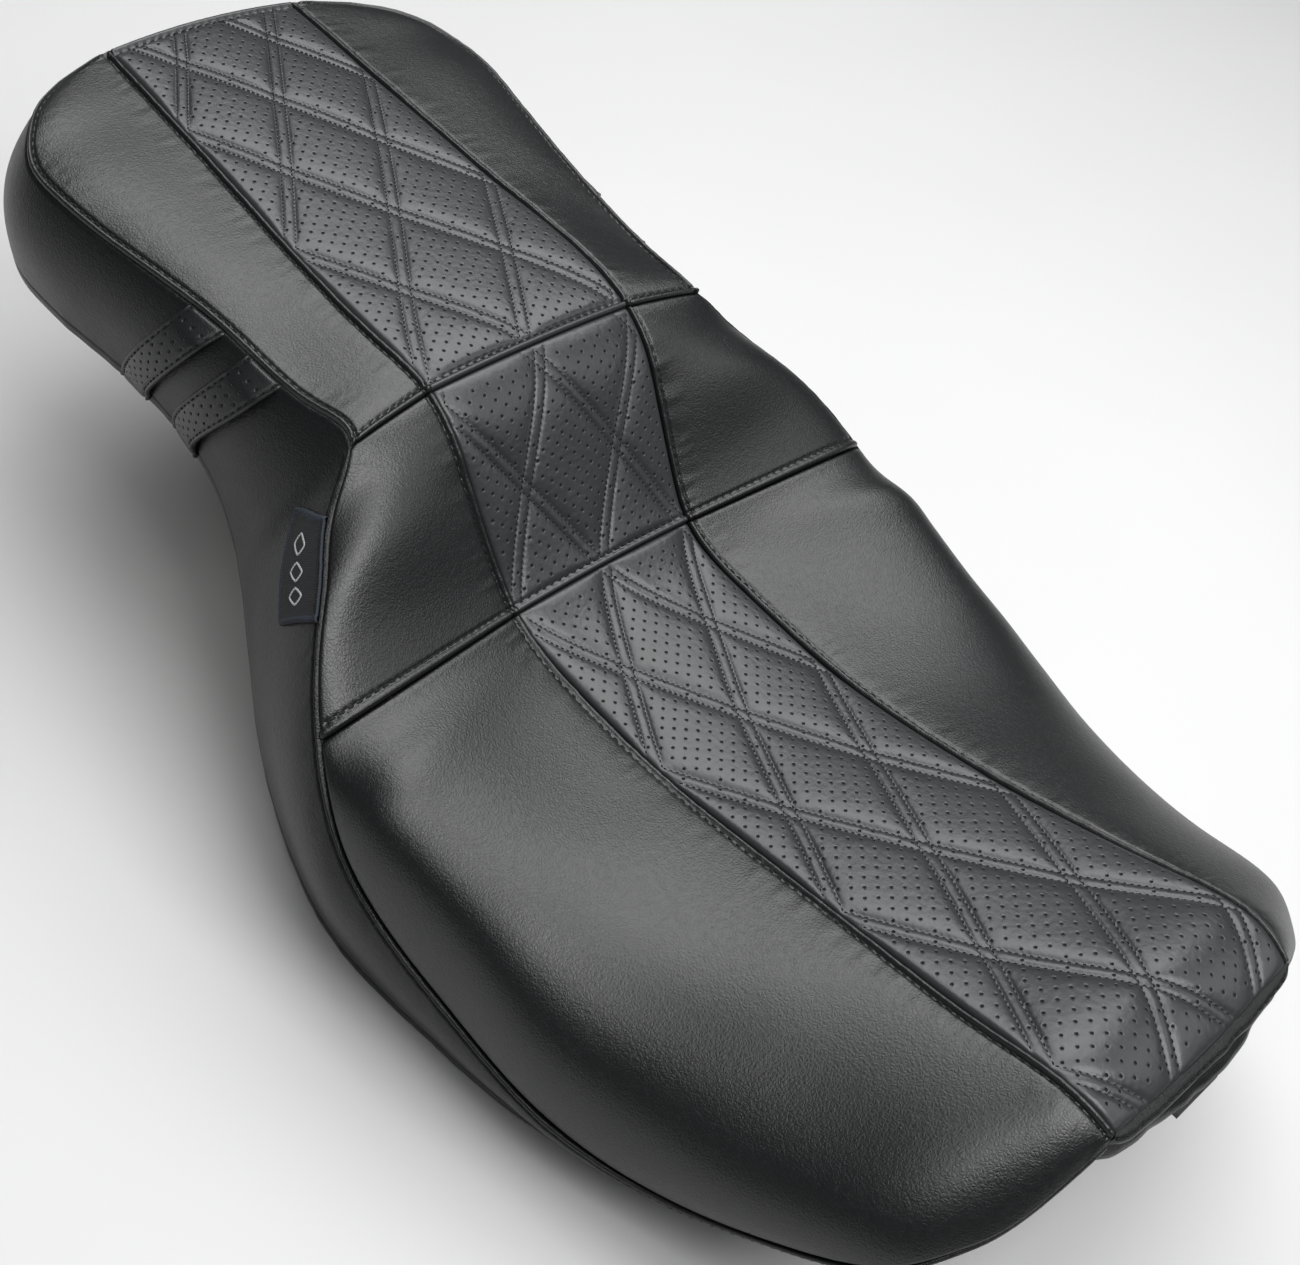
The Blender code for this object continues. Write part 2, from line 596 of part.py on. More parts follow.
def turned(name, centre, profile, slot, sides):
    """Closed body of revolution about an upright axis from (radius, z) points, top to bottom."""
    bm = bmesh.new()
    loops = []
    for radius, z in profile:
        if radius == 0:
            loops.append([bm.verts.new(placed((*centre, z)))])
            continue
        loop = []
        for k in range(sides):
            angle = math.tau * k / sides
            loop.append(bm.verts.new(placed((centre[0] + radius * math.cos(angle),
                                             centre[1] + radius * math.sin(angle), z))))
        loops.append(loop)
    for a, b in zip(loops, loops[1:]):
        for k in range(sides):
            m = (k + 1) % sides
            if len(a) == 1:
                bm.faces.new((a[0], b[k], b[m]))
            elif len(b) == 1:
                bm.faces.new((a[k], b[0], a[m]))
            else:
                bm.faces.new((a[k], b[k], b[m], a[m]))
    return make_object(name, bm, slot)


def ring(name, base, bore, radius, height, sides):
    """Flat ring or hexagon nut with a round bore."""
    bm = bmesh.new()
    count = max(sides, 18) if sides != 6 else 18
    rims = []
    for z in (0, height):
        for hole in (True, False):
            rim = []
            for k in range(count):
                angle = math.tau * k / count
                r = bore if hole else radius
                if sides == 6 and not hole:
                    r = radius / math.cos((angle % (math.pi / 3)) - math.pi / 6)
                rim.append(bm.verts.new(placed((base[0] + r * math.cos(angle),
                                                base[1] + r * math.sin(angle), base[2] + z))))
            rims.append(rim)
    order = (rims[0], rims[1], rims[3], rims[2])
    for a, b in zip(order, order[1:] + order[:1]):
        for k in range(count):
            m = (k + 1) % count
            bm.faces.new((a[k], a[m], b[m], b[k]))
    return make_object(name, bm, "zinc_steel")


def build_bumpers():
    for (x, y), place in zip(BUMPER_PLACES, ("front", "middle", "rear")):
        heights = []
        for k in range(12):
            angle = math.tau * k / 12
            heights.append(pan_height(x + BUMPER_RADIUS * math.cos(angle), y + BUMPER_RADIUS * math.sin(angle),
                                      HARDWARE))
        top = min(heights) - GAP
        for side, word in ((1, "left"), (-1, "right")):
            cylinder("bumper_" + place + "_" + word, (side * x, y, top - BUMPER_HEIGHT),
                     BUMPER_RADIUS * 0.8, BUMPER_HEIGHT, "rubber", 20, BUMPER_RADIUS)


def build_braces():
    """Pressed strips across the underside that stiffen the pan."""
    for name, v in (("rider_brace", 2.30), ("pillion_brace", 5.40)):
        half = BRACE_WIDTH / 2 / 100
        upper, lower = [], []
        for at in (v - half, v - half / 2, v, v + half / 2, v + half):
            rise = 0.0 if abs(at - v) > 0.6 * half else 2.0
            drop = HARDWARE + 1.2 + 2.0 - rise
            columns = [u for u in PAN_COLUMNS if abs(u) <= 0.8]
            upper.append([pan_point(u, at, drop) for u in columns])
            lower.append([pan_point(u, at, drop + BRACE_SHEET) for u in columns])
        solid(name, upper, lower, "black_steel")


def build_rivets():
    """Pop rivets that hold the turned-under hem to the pan's flange."""
    for number, v in enumerate(RIVET_STATIONS, 1):
        foot, out = np.array(hem_line(v)), outward(hem_line, v)
        p = foot - RIVET_INSET * out
        base = p[2] + RIVET_SEAT - GAP - RIVET_HEAD
        for side, word in ((1, "left"), (-1, "right")):
            cylinder("hem_rivet_%s_%d" % (word, number), (side * p[0], p[1], base),
                     0.6 * RIVET_RADIUS, RIVET_HEAD, "zinc_steel", 10, RIVET_RADIUS)


def main():
    for obj in list(bpy.data.objects):
        bpy.data.objects.remove(obj, do_unlink=True)
    pan, liner = build_pan()
    foam = build_foam()
    build_section("rider", NOSE, RIDER_CROSS)
    build_section("lumbar", RIDER_CROSS, PILLION_CROSS)
    build_section("pillion", PILLION_CROSS, TAIL)
    build_skirts()
    build_straps()
    build_tab()
    build_tongue()
    build_bracket(pan, liner, foam)
    build_bumpers()
    build_braces()
    build_rivets()


main()
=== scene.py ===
"""Looks of the two-up motorcycle seat: quilted, perforated and plain vinyl panels with sewn seams, skirts,
straps, a woven tab, the nose band, the foam core, and materials for the pan and its hardware.

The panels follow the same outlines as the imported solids.  Outlines are in millimetres about the middle of
the rider cross seam; station v is the distance from the nose along the long seam in decimetres.
"""
import json
import math

import bpy
import numpy as np
from mathutils import Matrix, Vector
from numpy.linalg import norm, solve


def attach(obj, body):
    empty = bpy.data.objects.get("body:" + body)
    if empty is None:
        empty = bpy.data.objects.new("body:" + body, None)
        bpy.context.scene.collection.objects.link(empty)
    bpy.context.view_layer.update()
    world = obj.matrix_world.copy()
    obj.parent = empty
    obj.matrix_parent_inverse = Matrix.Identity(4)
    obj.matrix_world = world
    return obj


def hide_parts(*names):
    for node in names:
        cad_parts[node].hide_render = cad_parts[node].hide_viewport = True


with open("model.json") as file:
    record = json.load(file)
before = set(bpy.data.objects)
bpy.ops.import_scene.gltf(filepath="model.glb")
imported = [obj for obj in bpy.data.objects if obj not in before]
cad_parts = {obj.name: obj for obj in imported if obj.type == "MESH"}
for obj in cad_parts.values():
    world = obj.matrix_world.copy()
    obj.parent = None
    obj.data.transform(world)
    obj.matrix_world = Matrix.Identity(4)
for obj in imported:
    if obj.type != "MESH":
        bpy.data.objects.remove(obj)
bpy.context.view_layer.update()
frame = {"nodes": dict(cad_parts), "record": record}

MM = 0.001
DM = 100  # millimetres in one unit of v
SIDES = ((1, "left"), (-1, "right"))
ORIGIN_Y, ORIGIN_Z = 5.19, 127.75  # from the outline's own zero to the row frame
NOSE, RIDER_CROSS, PILLION_CROSS, TAIL = 0.0, 3.5, 4.6, 7.2
SPANS = {"rider": (NOSE, RIDER_CROSS), "lumbar": (RIDER_CROSS, PILLION_CROSS),
         "pillion": (PILLION_CROSS, TAIL)}

# v, y, z, half width of the quilted strip
SEAM_LINE = (
    (0.00, -352, 30, 66), (0.18, -335, 36, 68), (0.63, -290, 27, 67), (1.22, -230, 10, 62),
    (1.85, -165, -4, 58.5), (2.45, -105, -12, 58), (3.04, -45, -11, 58), (3.50, 0, 0, 58),
    (3.77, 20, 20, 59.5), (4.18, 45, 53, 61.5), (4.44, 62, 72.5, 62.3), (4.60, 76, 81, 62.8),
    (4.91, 105, 86.5, 65), (5.59, 170, 89, 63.5), (6.37, 250, 94.5, 59), (7.20, 336, 100, 55.5))

# v, x, y, z of the outer edge seam
EDGE_LINE = (
    (0.00, 66, -352, 30), (0.10, 98, -349, 7), (0.28, 128, -339, -11), (0.46, 147, -324, -26),
    (0.70, 156.5, -288, -55), (1.22, 170.5, -226, -82), (1.82, 183.5, -171, -80.5),
    (2.45, 188.5, -114, -67.5), (2.98, 192.5, -65, -47.5), (3.26, 192.5, -37, -24.5),
    (3.50, 182.5, -9.5, 0), (3.72, 168.5, 13, 21), (4.05, 148.5, 36.5, 41), (4.38, 128.5, 58.5, 57),
    (4.60, 112.5, 71, 74), (4.91, 112, 98, 76), (5.54, 117.5, 160, 79), (6.16, 129.5, 228, 83),
    (6.58, 134.5, 268, 86), (6.81, 131, 290, 88), (6.97, 119.5, 307, 92), (7.10, 95, 325, 95),
    (7.20, 55.5, 336, 100))

# v, x, y, z of the hem
HEM_LINE = (
    (0.00, 66, -347, 8), (0.10, 94, -343, -6), (0.28, 117, -332, -24), (0.46, 133, -315, -42),
    (0.70, 140, -282, -72), (1.22, 155, -226, -105), (1.82, 171, -170, -115.5), (2.45, 176.5, -112, -122),
    (2.98, 178, -62, -126), (3.50, 174.5, -10, -119), (3.83, 165.5, 28, -103), (4.27, 150, 68, -80),
    (4.60, 133, 104, -48), (4.99, 122.5, 132, -25), (5.54, 118.5, 172, -4), (6.16, 126, 228, 9),
    (6.68, 132.5, 275, 14), (6.97, 122, 315.5, 16), (7.10, 98, 335.5, 17), (7.20, 57, 348, 18))

# v, fall at the long seam and at the edge seam (degrees), pull of each end as a share of the chord
PAD_SHAPE = (
    (0.00, 20, 40, 0.33, 0.33), (0.35, 20, 58, 0.33, 0.33), (0.70, 15, 105, 0.40, 0.33),
    (1.22, 7, 105, 0.45, 0.39), (1.82, 4, 99, 0.57, 0.44), (2.45, -1, 91, 0.67, 0.54),
    (3.01, -4, 88, 0.66, 0.49), (3.29, -5, 74, 0.51, 0.34), (3.50, -5, 43, 0.35, 0.175),
    (3.72, -5, 18, 0.34, 0.25), (4.05, -8, 32, 0.40, 0.40), (4.60, 6, 14, 0.33, 0.33),
    (5.64, 9, 16, 0.36, 0.36), (7.20, 9, 15, 0.35, 0.35))
CROSS_LEAN, CROSS_LEAN_REACH = 0.53, 0.35  # how far the pads' crown leans forward at the rider cross seam

# quilting: each section's first lattice number, and the stations of it and of every half number after it;
# whole numbers are crossings in the middle of the strip
QUILT_STATIONS = {
    "rider": (5.0, (3.475, 2.99, 2.50, 1.955, 1.43, 0.89, 0.36, -0.17)),
    "lumbar": (3.5, (5.05, 4.52, 3.995, 3.50, 3.00)),
    "pillion": (0.5, (7.75, 7.36, 6.97, 6.56, 6.125, 5.675, 5.185, 4.65, 4.10)),
}
QUILT_SHIFT, QUILT_SPREAD = 0.03, 0.99  # the lattice sits a little right of the middle
QUILT_PAIR = 2.75  # half the distance between the two lines of a pair
QUILT_PAIR_RATE = 0.019  # lattice numbers in a millimetre across a pair
QUILT_SIDE = 60.7  # millimetres of thread in one lattice number
QUILT_PUFF = {"rider": 2.7, "lumbar": 1.7, "pillion": 2.2}  # height of a diamond above its stitch lines
QUILT_SOFTNESS = 3.4  # width of the rounded border of a diamond
QUILT_STITCHES = 21  # stitches per half diamond side
QUILT_STITCH_SIZE = (1.9, 0.34)  # length and radius of a stitch
QUILT_CLEAR_U, QUILT_CLEAR_V = 0.965, 0.035  # where the quilting ends: reach in u, distance in v from a seam

HOLES_ACROSS = 28  # half pitches of the perforation across the strip
HOLE_PITCH = {"rider": 0.038, "lumbar": 0.0393, "pillion": 0.0361}  # half pitch along, in v
HOLE_RADIUS, HOLE_DEPTH, HOLE_RING = 0.78, 0.9, 1.02  # the ring is the flat border of a hole
HOLE_CLEAR_LINES, HOLE_CLEAR_SIDES, HOLE_CLEAR_ENDS = 1.25, 4.2, 4.5  # from stitch lines and seams
CELLS_ACROSS, CELLS_ALONG = 6, 5  # mesh cells in a half pitch

JOINT = 0.004  # distance in v from a cross seam's middle to a panel
TUCK_DEPTHS, TUCK_SPREAD = (0.7, 1.8, 3.4), 0.24  # borders folded down into the seams, and how far outward
STITCH_PITCH, STITCH_SIZE = 5.0, (3.6, 0.52)  # the size is the length and radius of a stitch
STITCH_SET = 3.9  # distance of a topstitch from its seam
PUCKER_REACH = 9.0  # how far the puckers run from a topstitch
FINE_BORDER = 5.3  # width of a pad's closely meshed border

HEM_RETURN = 13.5  # width of the hem turned under the pan
SKIRT_FALL, HEM_FALL = 60.0, 97.0  # slope of the skirt below the edge seam and at the hem, degrees
SKIRT_PULL = 0.38  # share of the skirt's height over which it keeps these slopes
STRAP_WIDTH = 24.0
STRAPS = (("rear", 167.0, 40.0), ("front", 129.0, 34.0))  # y of the middle at the edge seam, and rake
STRAP_LENGTH, STRAP_HEM = 62.0, 2.9  # STRAP_HEM: from the strap's edge to its topstitch
TAB_FROM, TAB_TO, TAB_SHEAR = 3.87, 4.34, 0.20  # stations at the edge seam, and their shift at the tip
TAB_DEPTH, TAB_WIDTH, TAB_BORDER = 36.0, 52.0, 2.8
FOAM_FROM, FOAM_TO = 0.66, 7.08  # stations of the foam's ends
FOAM_UNDER, FOAM_SHARE = 9.0, 0.95  # depth of the foam under the cover, and its share of the width
FLOOR_REACH = 6.0
PEBBLE, PORES, CREASES = 0.0017, 2400, 330  # vinyl grain: pebble size in metres; pores and creases per metre


# ---- outlines and surfaces

class Outline:
    """Natural cubic curve through rows of (v, value, ...), for many stations at once."""

    def __init__(self, rows):
        table = np.array(rows, float)
        self.v, self.value = table[:, 0], table[:, 1:]
        step = np.diff(self.v)
        slope = np.diff(self.value, axis=0) / step[:, None]
        matrix = np.eye(len(self.v))
        right = np.zeros_like(self.value)
        for i in range(1, len(self.v) - 1):
            matrix[i, i - 1:i + 2] = step[i - 1], 2 * (step[i - 1] + step[i]), step[i]
            right[i] = 6 * (slope[i] - slope[i - 1])
        self.bend = solve(matrix, right)

    def __call__(self, v):
        v = np.asarray(v, float)
        i = np.clip(np.searchsorted(self.v, v) - 1, 0, len(self.v) - 2)
        step = (self.v[i + 1] - self.v[i])[..., None]
        a = (self.v[i + 1] - v)[..., None] / step
        b = (v - self.v[i])[..., None] / step
        straight = a * self.value[i] + b * self.value[i + 1]
        curve = (a ** 3 - a) * self.bend[i] + (b ** 3 - b) * self.bend[i + 1]
        return straight + curve * step * step / 6


seam_line = Outline(SEAM_LINE)
edge_line = Outline(EDGE_LINE)
hem_line = Outline(HEM_LINE)
pad_shape = Outline(PAD_SHAPE)
quilt_station, quilt_number = {}, {}
for section_name, (first_number, stations) in QUILT_STATIONS.items():
    lattice = np.stack([first_number + np.arange(len(stations)) / 2, stations], 1)
    quilt_station[section_name] = Outline(lattice)
    quilt_number[section_name] = Outline(lattice[::-1, ::-1])


def unit(p):
    length = norm(p, axis=-1, keepdims=True)
    return p / np.maximum(length, 1e-9)


def run_along(points):
    """Distance along a line of points up to each of them."""
    return np.concatenate([[0], np.cumsum(norm(np.diff(points, axis=0), axis=1))])


def read_along(at, run, rows):
    """Rows of three values each, read at other places along their run."""
    return np.stack([np.interp(at, run, rows[:, k]) for k in range(3)], 1)


def bilinear(grid, row, col):
    """Values of a grid at fractional rows and columns."""
    i = np.clip(row.astype(int), 0, grid.shape[0] - 2)
    j = np.clip(col.astype(int), 0, grid.shape[1] - 2)
    a, b = (row - i)[:, None], (col - j)[:, None]
    return ((grid[i, j] * (1 - b) + grid[i, j + 1] * b) * (1 - a)
            + (grid[i + 1, j] * (1 - b) + grid[i + 1, j + 1] * b) * a)


def bell(x, middle, reach):
    return np.exp(-((x - middle) / reach) ** 2)


def seam_point(v):
    return seam_line(v)[..., [2, 0, 1]]


def bezier(t, start, first, last, end):
    """Cubic curve of every row, at columns t."""
    t = t[None, :, None]
    w = 1 - t
    return (w ** 3 * start[:, None] + 3 * w * w * t * first[:, None]
            + 3 * w * t * t * last[:, None] + t ** 3 * end[:, None])


def centre_surface(u, v):
    """Quilted strip: rows are stations v, columns run from u = -1 to 1 between the long seams."""
    start = seam_point(v)[:, None, :]
    crown = (1 - u * u)[None, :]
    bow = (-2.0 * np.maximum(0, 1 - v / 0.2) + 2.5 * np.maximum(0, 1 - (TAIL - v) / 0.2))[:, None]
    dip = (-4.0 * np.maximum(0, 1 - v / 0.35) + 2.0)[:, None]
    x = start[..., 0] * u[None, :]
    return np.stack([x, start[..., 1] + bow * crown, start[..., 2] + dip * crown], -1)


def side_surface(u, v):
    """Pad beside the strip: columns run from u = 0 at the long seam to 1 at the edge seam."""
    start, end = seam_point(v), edge_line(v)
    fall_in, fall_out, pull_in, pull_out = np.moveaxis(pad_shape(v), -1, 0)
    flat = unit((end - start)[:, :2] + np.array([1e-6, 0]))
    chord = norm(end - start, axis=1)[:, None]

    def along(fall):
        a = np.radians(fall)[:, None]
        return np.concatenate([flat * np.cos(a), -np.sin(a)], 1)

    first = start + pull_in[:, None] * chord * along(fall_in)
    last = end - pull_out[:, None] * chord * along(fall_out)
    points = bezier(u, start, first, last, end)
    rise = points[..., 2] - start[:, None, 2] * (1 - u) - end[:, None, 2] * u
    lean = CROSS_LEAN * bell(v, RIDER_CROSS, CROSS_LEAN_REACH)[:, None]
    points[..., 1] -= lean * rise
    return points


def grid_normals(points):
    across = np.gradient(points, axis=1)
    along = np.gradient(points, axis=0)
    n = np.cross(across, along)
    weak = norm(n, axis=-1) < 1e-9
    n[weak] = (0, 0, 1)
    return unit(n)


def spaced(first, last, length, fine, coarse):
    """Values from first to last over a length in mm, with finer steps at both ends."""
    grow = []
    at, step = 0.0, fine
    while at < length / 2:
        grow.append(at)
        step = fine if at < FINE_BORDER else min(coarse, step * 1.15)
        at += step
    half = np.array(grow)
    marks = np.concatenate([half, length - half[::-1]]) / length
    marks = marks[np.concatenate([[True], np.diff(marks) > 0.3 * fine / length])]
    marks[0], marks[-1] = 0.0, 1.0
    return first + (last - first) * marks


def smooth_noise(x, y, seed):
    """Soft random field between -1 and 1; one hill per unit."""
    rng = np.random.default_rng(seed)
    table = rng.uniform(-1, 1, (64, 64))
    i, j = np.floor(x).astype(int), np.floor(y).astype(int)
    a, b = x - i, y - j
    a, b = a * a * (3 - 2 * a), b * b * (3 - 2 * b)
    c00, c10 = table[i % 64, j % 64], table[(i + 1) % 64, j % 64]
    c01, c11 = table[i % 64, (j + 1) % 64], table[(i + 1) % 64, (j + 1) % 64]
    return (c00 * (1 - a) + c10 * a) * (1 - b) + (c01 * (1 - a) + c11 * a) * b


def smoothstep(x, low, high):
    t = np.clip((x - low) / (high - low), 0, 1)
    return t * t * (3 - 2 * t)


# ---- seam profiles

def rolled(d, drop=1.7, width=2.8):
    """Height of a panel that rolls down into a seam at distance d from it."""
    t = 1 - np.clip(d / width, 0, 1)
    return -drop * (1 - np.sqrt(np.maximum(0, 1 - t * t)))


def ridged(d, along):
    """Height of the folded, topstitched side of a seam: a lip, then the groove of its stitches."""
    lip = 1.15 * np.sin(math.pi * np.clip(d / 3.3, 0, 1)) ** 0.8
    edge = -1.7 * (1 - np.clip(d / 1.0, 0, 1)) ** 2
    needle = 0.5 + 0.5 * np.cos(2 * math.pi * along / STITCH_PITCH)
    groove = -(0.5 + 0.8 * needle) * bell(d, STITCH_SET, 0.8)
    return lip + edge + groove


def puckers(d, along, seed, size=0.28):
    """Small gathers that run away from a topstitch."""
    wave = smooth_noise(along / 3.4, d / 14.0, seed) + 0.6 * smooth_noise(along / 7.9, d / 20.0, seed + 1)
    return size * wave * bell(d - STITCH_SET, 2.0, PUCKER_REACH)


# ---- panels

class Panel:
    """A grid of points with normals, and the parameters of its rows (v) and columns (u)."""

    def __init__(self, u, v, points):
        self.u, self.v = u, v
        self.base = points
        self.points = points.copy()
        self.normals = grid_normals(points)

    def lift(self, height):
        self.points = self.base + self.normals * height[..., None]

    def widths(self):
        """Distance across every row up to each column, in mm."""
        step = norm(np.diff(self.base, axis=1), axis=2)
        return np.concatenate([np.zeros((len(self.v), 1)), np.cumsum(step, 1)], 1)

    def at(self, u, v):
        """Positions and normals of the lifted surface at parameters u, v."""
        col = np.interp(u, self.u, np.arange(len(self.u)))
        row = np.interp(v, self.v, np.arange(len(self.v)))
        return bilinear(self.points, row, col), unit(bilinear(self.normals, row, col))

    def tucked(self):
        """The grid with its border folded down into the seams."""
        n = len(TUCK_DEPTHS)
        points = np.pad(self.points, ((n, n), (n, n), (0, 0)), "edge")
        normals = np.pad(self.normals, ((n, n), (n, n), (0, 0)), "edge")
        rows = np.arange(points.shape[0])
        cols = np.arange(points.shape[1])
        out_row = np.maximum(n - rows, rows - (len(self.v) + n - 1)).clip(0, n)
        out_col = np.maximum(n - cols, cols - (len(self.u) + n - 1)).clip(0, n)
        table = np.array((0.0,) + TUCK_DEPTHS)
        depth = np.maximum(table[out_row][:, None], table[out_col][None, :])
        outward = np.zeros_like(points)
        outward[:n] += unit(points[n] - points[n + 2])
        outward[-n:] += unit(points[-n - 1] - points[-n - 3])
        outward[:, :n] += unit(points[:, n] - points[:, n + 2])[:, None]
        outward[:, -n:] += unit(points[:, -n - 1] - points[:, -n - 3])[:, None]
        return points + (TUCK_SPREAD * outward - normals) * depth[..., None]


def grid_faces(rows, cols, flip=False, keep=None):
    ids = np.arange(rows * cols).reshape(rows, cols)
    quads = np.stack([ids[:-1, :-1], ids[:-1, 1:], ids[1:, 1:], ids[1:, :-1]], -1)
    quads = quads.reshape(-1, 4) if keep is None else quads[keep]
    return quads[:, ::-1] if flip else quads


def border_ring(rows, cols):
    """Indices of a grid's border in order, and the index that follows each of them."""
    ids = np.arange(rows * cols).reshape(rows, cols)
    ring = np.concatenate([ids[0], ids[1:, -1], ids[-1, -2::-1], ids[-2:0:-1, 0]])
    return ring, np.roll(ring, -1)


def slab_faces(rows, cols, offset):
    """Back and border faces of a sheet whose back points follow at an offset."""
    ids, following = border_ring(rows, cols)
    return grid_faces(rows, cols) + offset, np.stack([ids, following, following + offset, ids + offset], -1)


def clear_cells(marks):
    """Cells of a grid that touch no marked vertex."""
    return ~(marks[:-1, :-1] | marks[1:, :-1] | marks[:-1, 1:] | marks[1:, 1:])


def new_object(name, data):
    obj = bpy.data.objects.new(name, data)
    bpy.context.scene.collection.objects.link(obj)
    return obj


def mesh_piece(name, points, faces, materials, face_material=None):
    """Makes a piece that rides on the seat, from outline points and lists of faces."""
    mesh = bpy.data.meshes.new(name)
    points = (points.reshape(-1, 3) + np.array([0, ORIGIN_Y, ORIGIN_Z])) * MM
    sizes = np.concatenate([np.full(len(f), f.shape[1]) for f in faces])
    corners = np.concatenate([f.reshape(-1) for f in faces])
    starts = np.concatenate([[0], np.cumsum(sizes)[:-1]])
    mesh.vertices.add(len(points))
    mesh.loops.add(len(corners))
    mesh.polygons.add(len(sizes))
    mesh.vertices.foreach_set("co", points.reshape(-1).astype(np.float32))
    mesh.loops.foreach_set("vertex_index", corners.astype(np.int32))
    for mat in materials:
        mesh.materials.append(mat)
    mesh.polygons.foreach_set("loop_start", starts.astype(np.int32))
    mesh.polygons.foreach_set("loop_total", sizes.astype(np.int32))
    mesh.polygons.foreach_set("use_smooth", np.ones(len(sizes), bool))
    if face_material is not None:
        mesh.polygons.foreach_set("material_index", face_material.astype(np.int32))
    mesh.update(calc_edges=True)
    mesh.validate()
    piece = new_object(name, mesh)
    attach(piece, "root")
    return piece


def mirrored(points, side):
    return points * np.array([side, 1, 1])


# ---- stitches

def stitch_template(length, radius):
    """Points and faces of one stitch: a short thread whose ends dive into the cover."""
    places = np.array([-1.0, -0.86, -0.5, 0.0, 0.5, 0.86, 1.0])
    girth = np.array([0.30, 0.72, 0.97, 1.0, 0.97, 0.72, 0.30]) * radius
    arch = -(np.abs(places) ** 3) * radius * 1.7
    turn = np.arange(6) * math.pi / 3
    points = np.stack([
        np.repeat(places[:, None] * length / 2, 6, 1),
        girth[:, None] * np.cos(turn)[None, :] * 1.1,
        girth[:, None] * np.sin(turn)[None, :] + arch[:, None]], -1).reshape(-1, 3)
    rings = np.arange(len(points)).reshape(-1, 6)
    turned = np.roll(rings, -1, 1)
    quads = np.stack([rings[:-1], rings[1:], turned[1:], turned[:-1]], -1).reshape(-1, 4)
    return points, quads, np.stack([rings[0], rings[-1, ::-1]])


def stitches(name, centres, directions, normals, slot="smooth_vinyl", size=STITCH_SIZE, lift=0.06):
    """One piece that holds a row of stitches; size is a stitch's length and radius."""
    points, quads, caps = stitch_template(*size)
    t = unit(directions)
    b = unit(np.cross(normals, t))
    n = unit(np.cross(t, b))
    local = (points[None, :, 0:1] * t[:, None] + points[None, :, 1:2] * b[:, None]
             + (points[None, :, 2:3] + lift) * n[:, None])
    every = centres[:, None] + local
    offset = (np.arange(len(centres)) * len(points))[:, None, None]
    faces = [(quads[None] + offset).reshape(-1, 4), (caps[None] + offset).reshape(-1, 6)]
    return mesh_piece(name, every, faces, [thread])


def along_line(positions, normals):
    """Centres, directions and normals of topstitches along a dense line of positions."""
    run = run_along(positions)
    marks = (np.arange(int(run[-1] / STITCH_PITCH - 0.5)) + 0.5) * STITCH_PITCH
    ahead = read_along(marks + STITCH_PITCH * 0.3, run, positions)
    behind = read_along(marks - STITCH_PITCH * 0.3, run, positions)
    return read_along(marks, run, positions), ahead - behind, read_along(marks, run, normals)


# ---- materials

def set_inputs(tree, node, inputs):
    """Gives a node's inputs plain values, or links them to the outputs of other nodes."""
    for name, value in inputs.items():
        if isinstance(value, bpy.types.NodeSocket):
            tree.links.new(value, node.inputs[name])
        else:
            node.inputs[name].default_value = value


def add_node(tree, kind, inputs, **settings):
    node = tree.nodes.new("ShaderNode" + kind)
    for name, value in settings.items():
        setattr(node, name, value)
    set_inputs(tree, node, inputs)
    return node


def node_material(name):
    mat = bpy.data.materials.new(name)
    mat.use_nodes = True
    tree = mat.node_tree
    return mat, tree, tree.nodes["Principled BSDF"], add_node(tree, "TexCoord", {}).outputs["Object"]


def noise(tree, place, scale, detail, rough=0.5):
    inputs = {"Vector": place, "Scale": scale, "Detail": detail, "Roughness": rough}
    return add_node(tree, "TexNoise", inputs).outputs["Fac"]


def cells(tree, place, scale):
    inputs = {"Vector": place, "Scale": scale}
    return add_node(tree, "TexVoronoi", inputs, feature='DISTANCE_TO_EDGE').outputs["Distance"]


def ramp(tree, value, low, high, from_high=1.0):
    inputs = {"Value": value, "From Max": from_high, "To Min": low, "To Max": high}
    return add_node(tree, "MapRange", inputs).outputs["Result"]


def mix_colours(tree, factor, first, second):
    inputs = {"Factor": factor, "A": (*first, 1), "B": (*second, 1)}
    return add_node(tree, "Mix", inputs, data_type='RGBA').outputs["Result"]


def bump(tree, height, distance, strength, below=None):
    inputs = {"Height": height, "Distance": distance, "Strength": strength}
    if below is not None:
        inputs["Normal"] = below
    return add_node(tree, "Bump", inputs).outputs["Normal"]


def stretched(tree, place, amount, scale):
    """Coordinates pushed about by a noise, so that cells come out uneven."""
    cloud = add_node(tree, "TexNoise", {"Vector": place, "Scale": scale, "Detail": 2.0})
    inputs = {0: cloud.outputs["Color"], 1: (amount, amount, amount), 2: place}
    return add_node(tree, "VectorMath", inputs, operation='MULTIPLY_ADD').outputs["Vector"]


def tones(colour, low, high):
    """A darker and a lighter tone of a colour."""
    return tuple(c * low for c in colour), tuple(c * high for c in colour)


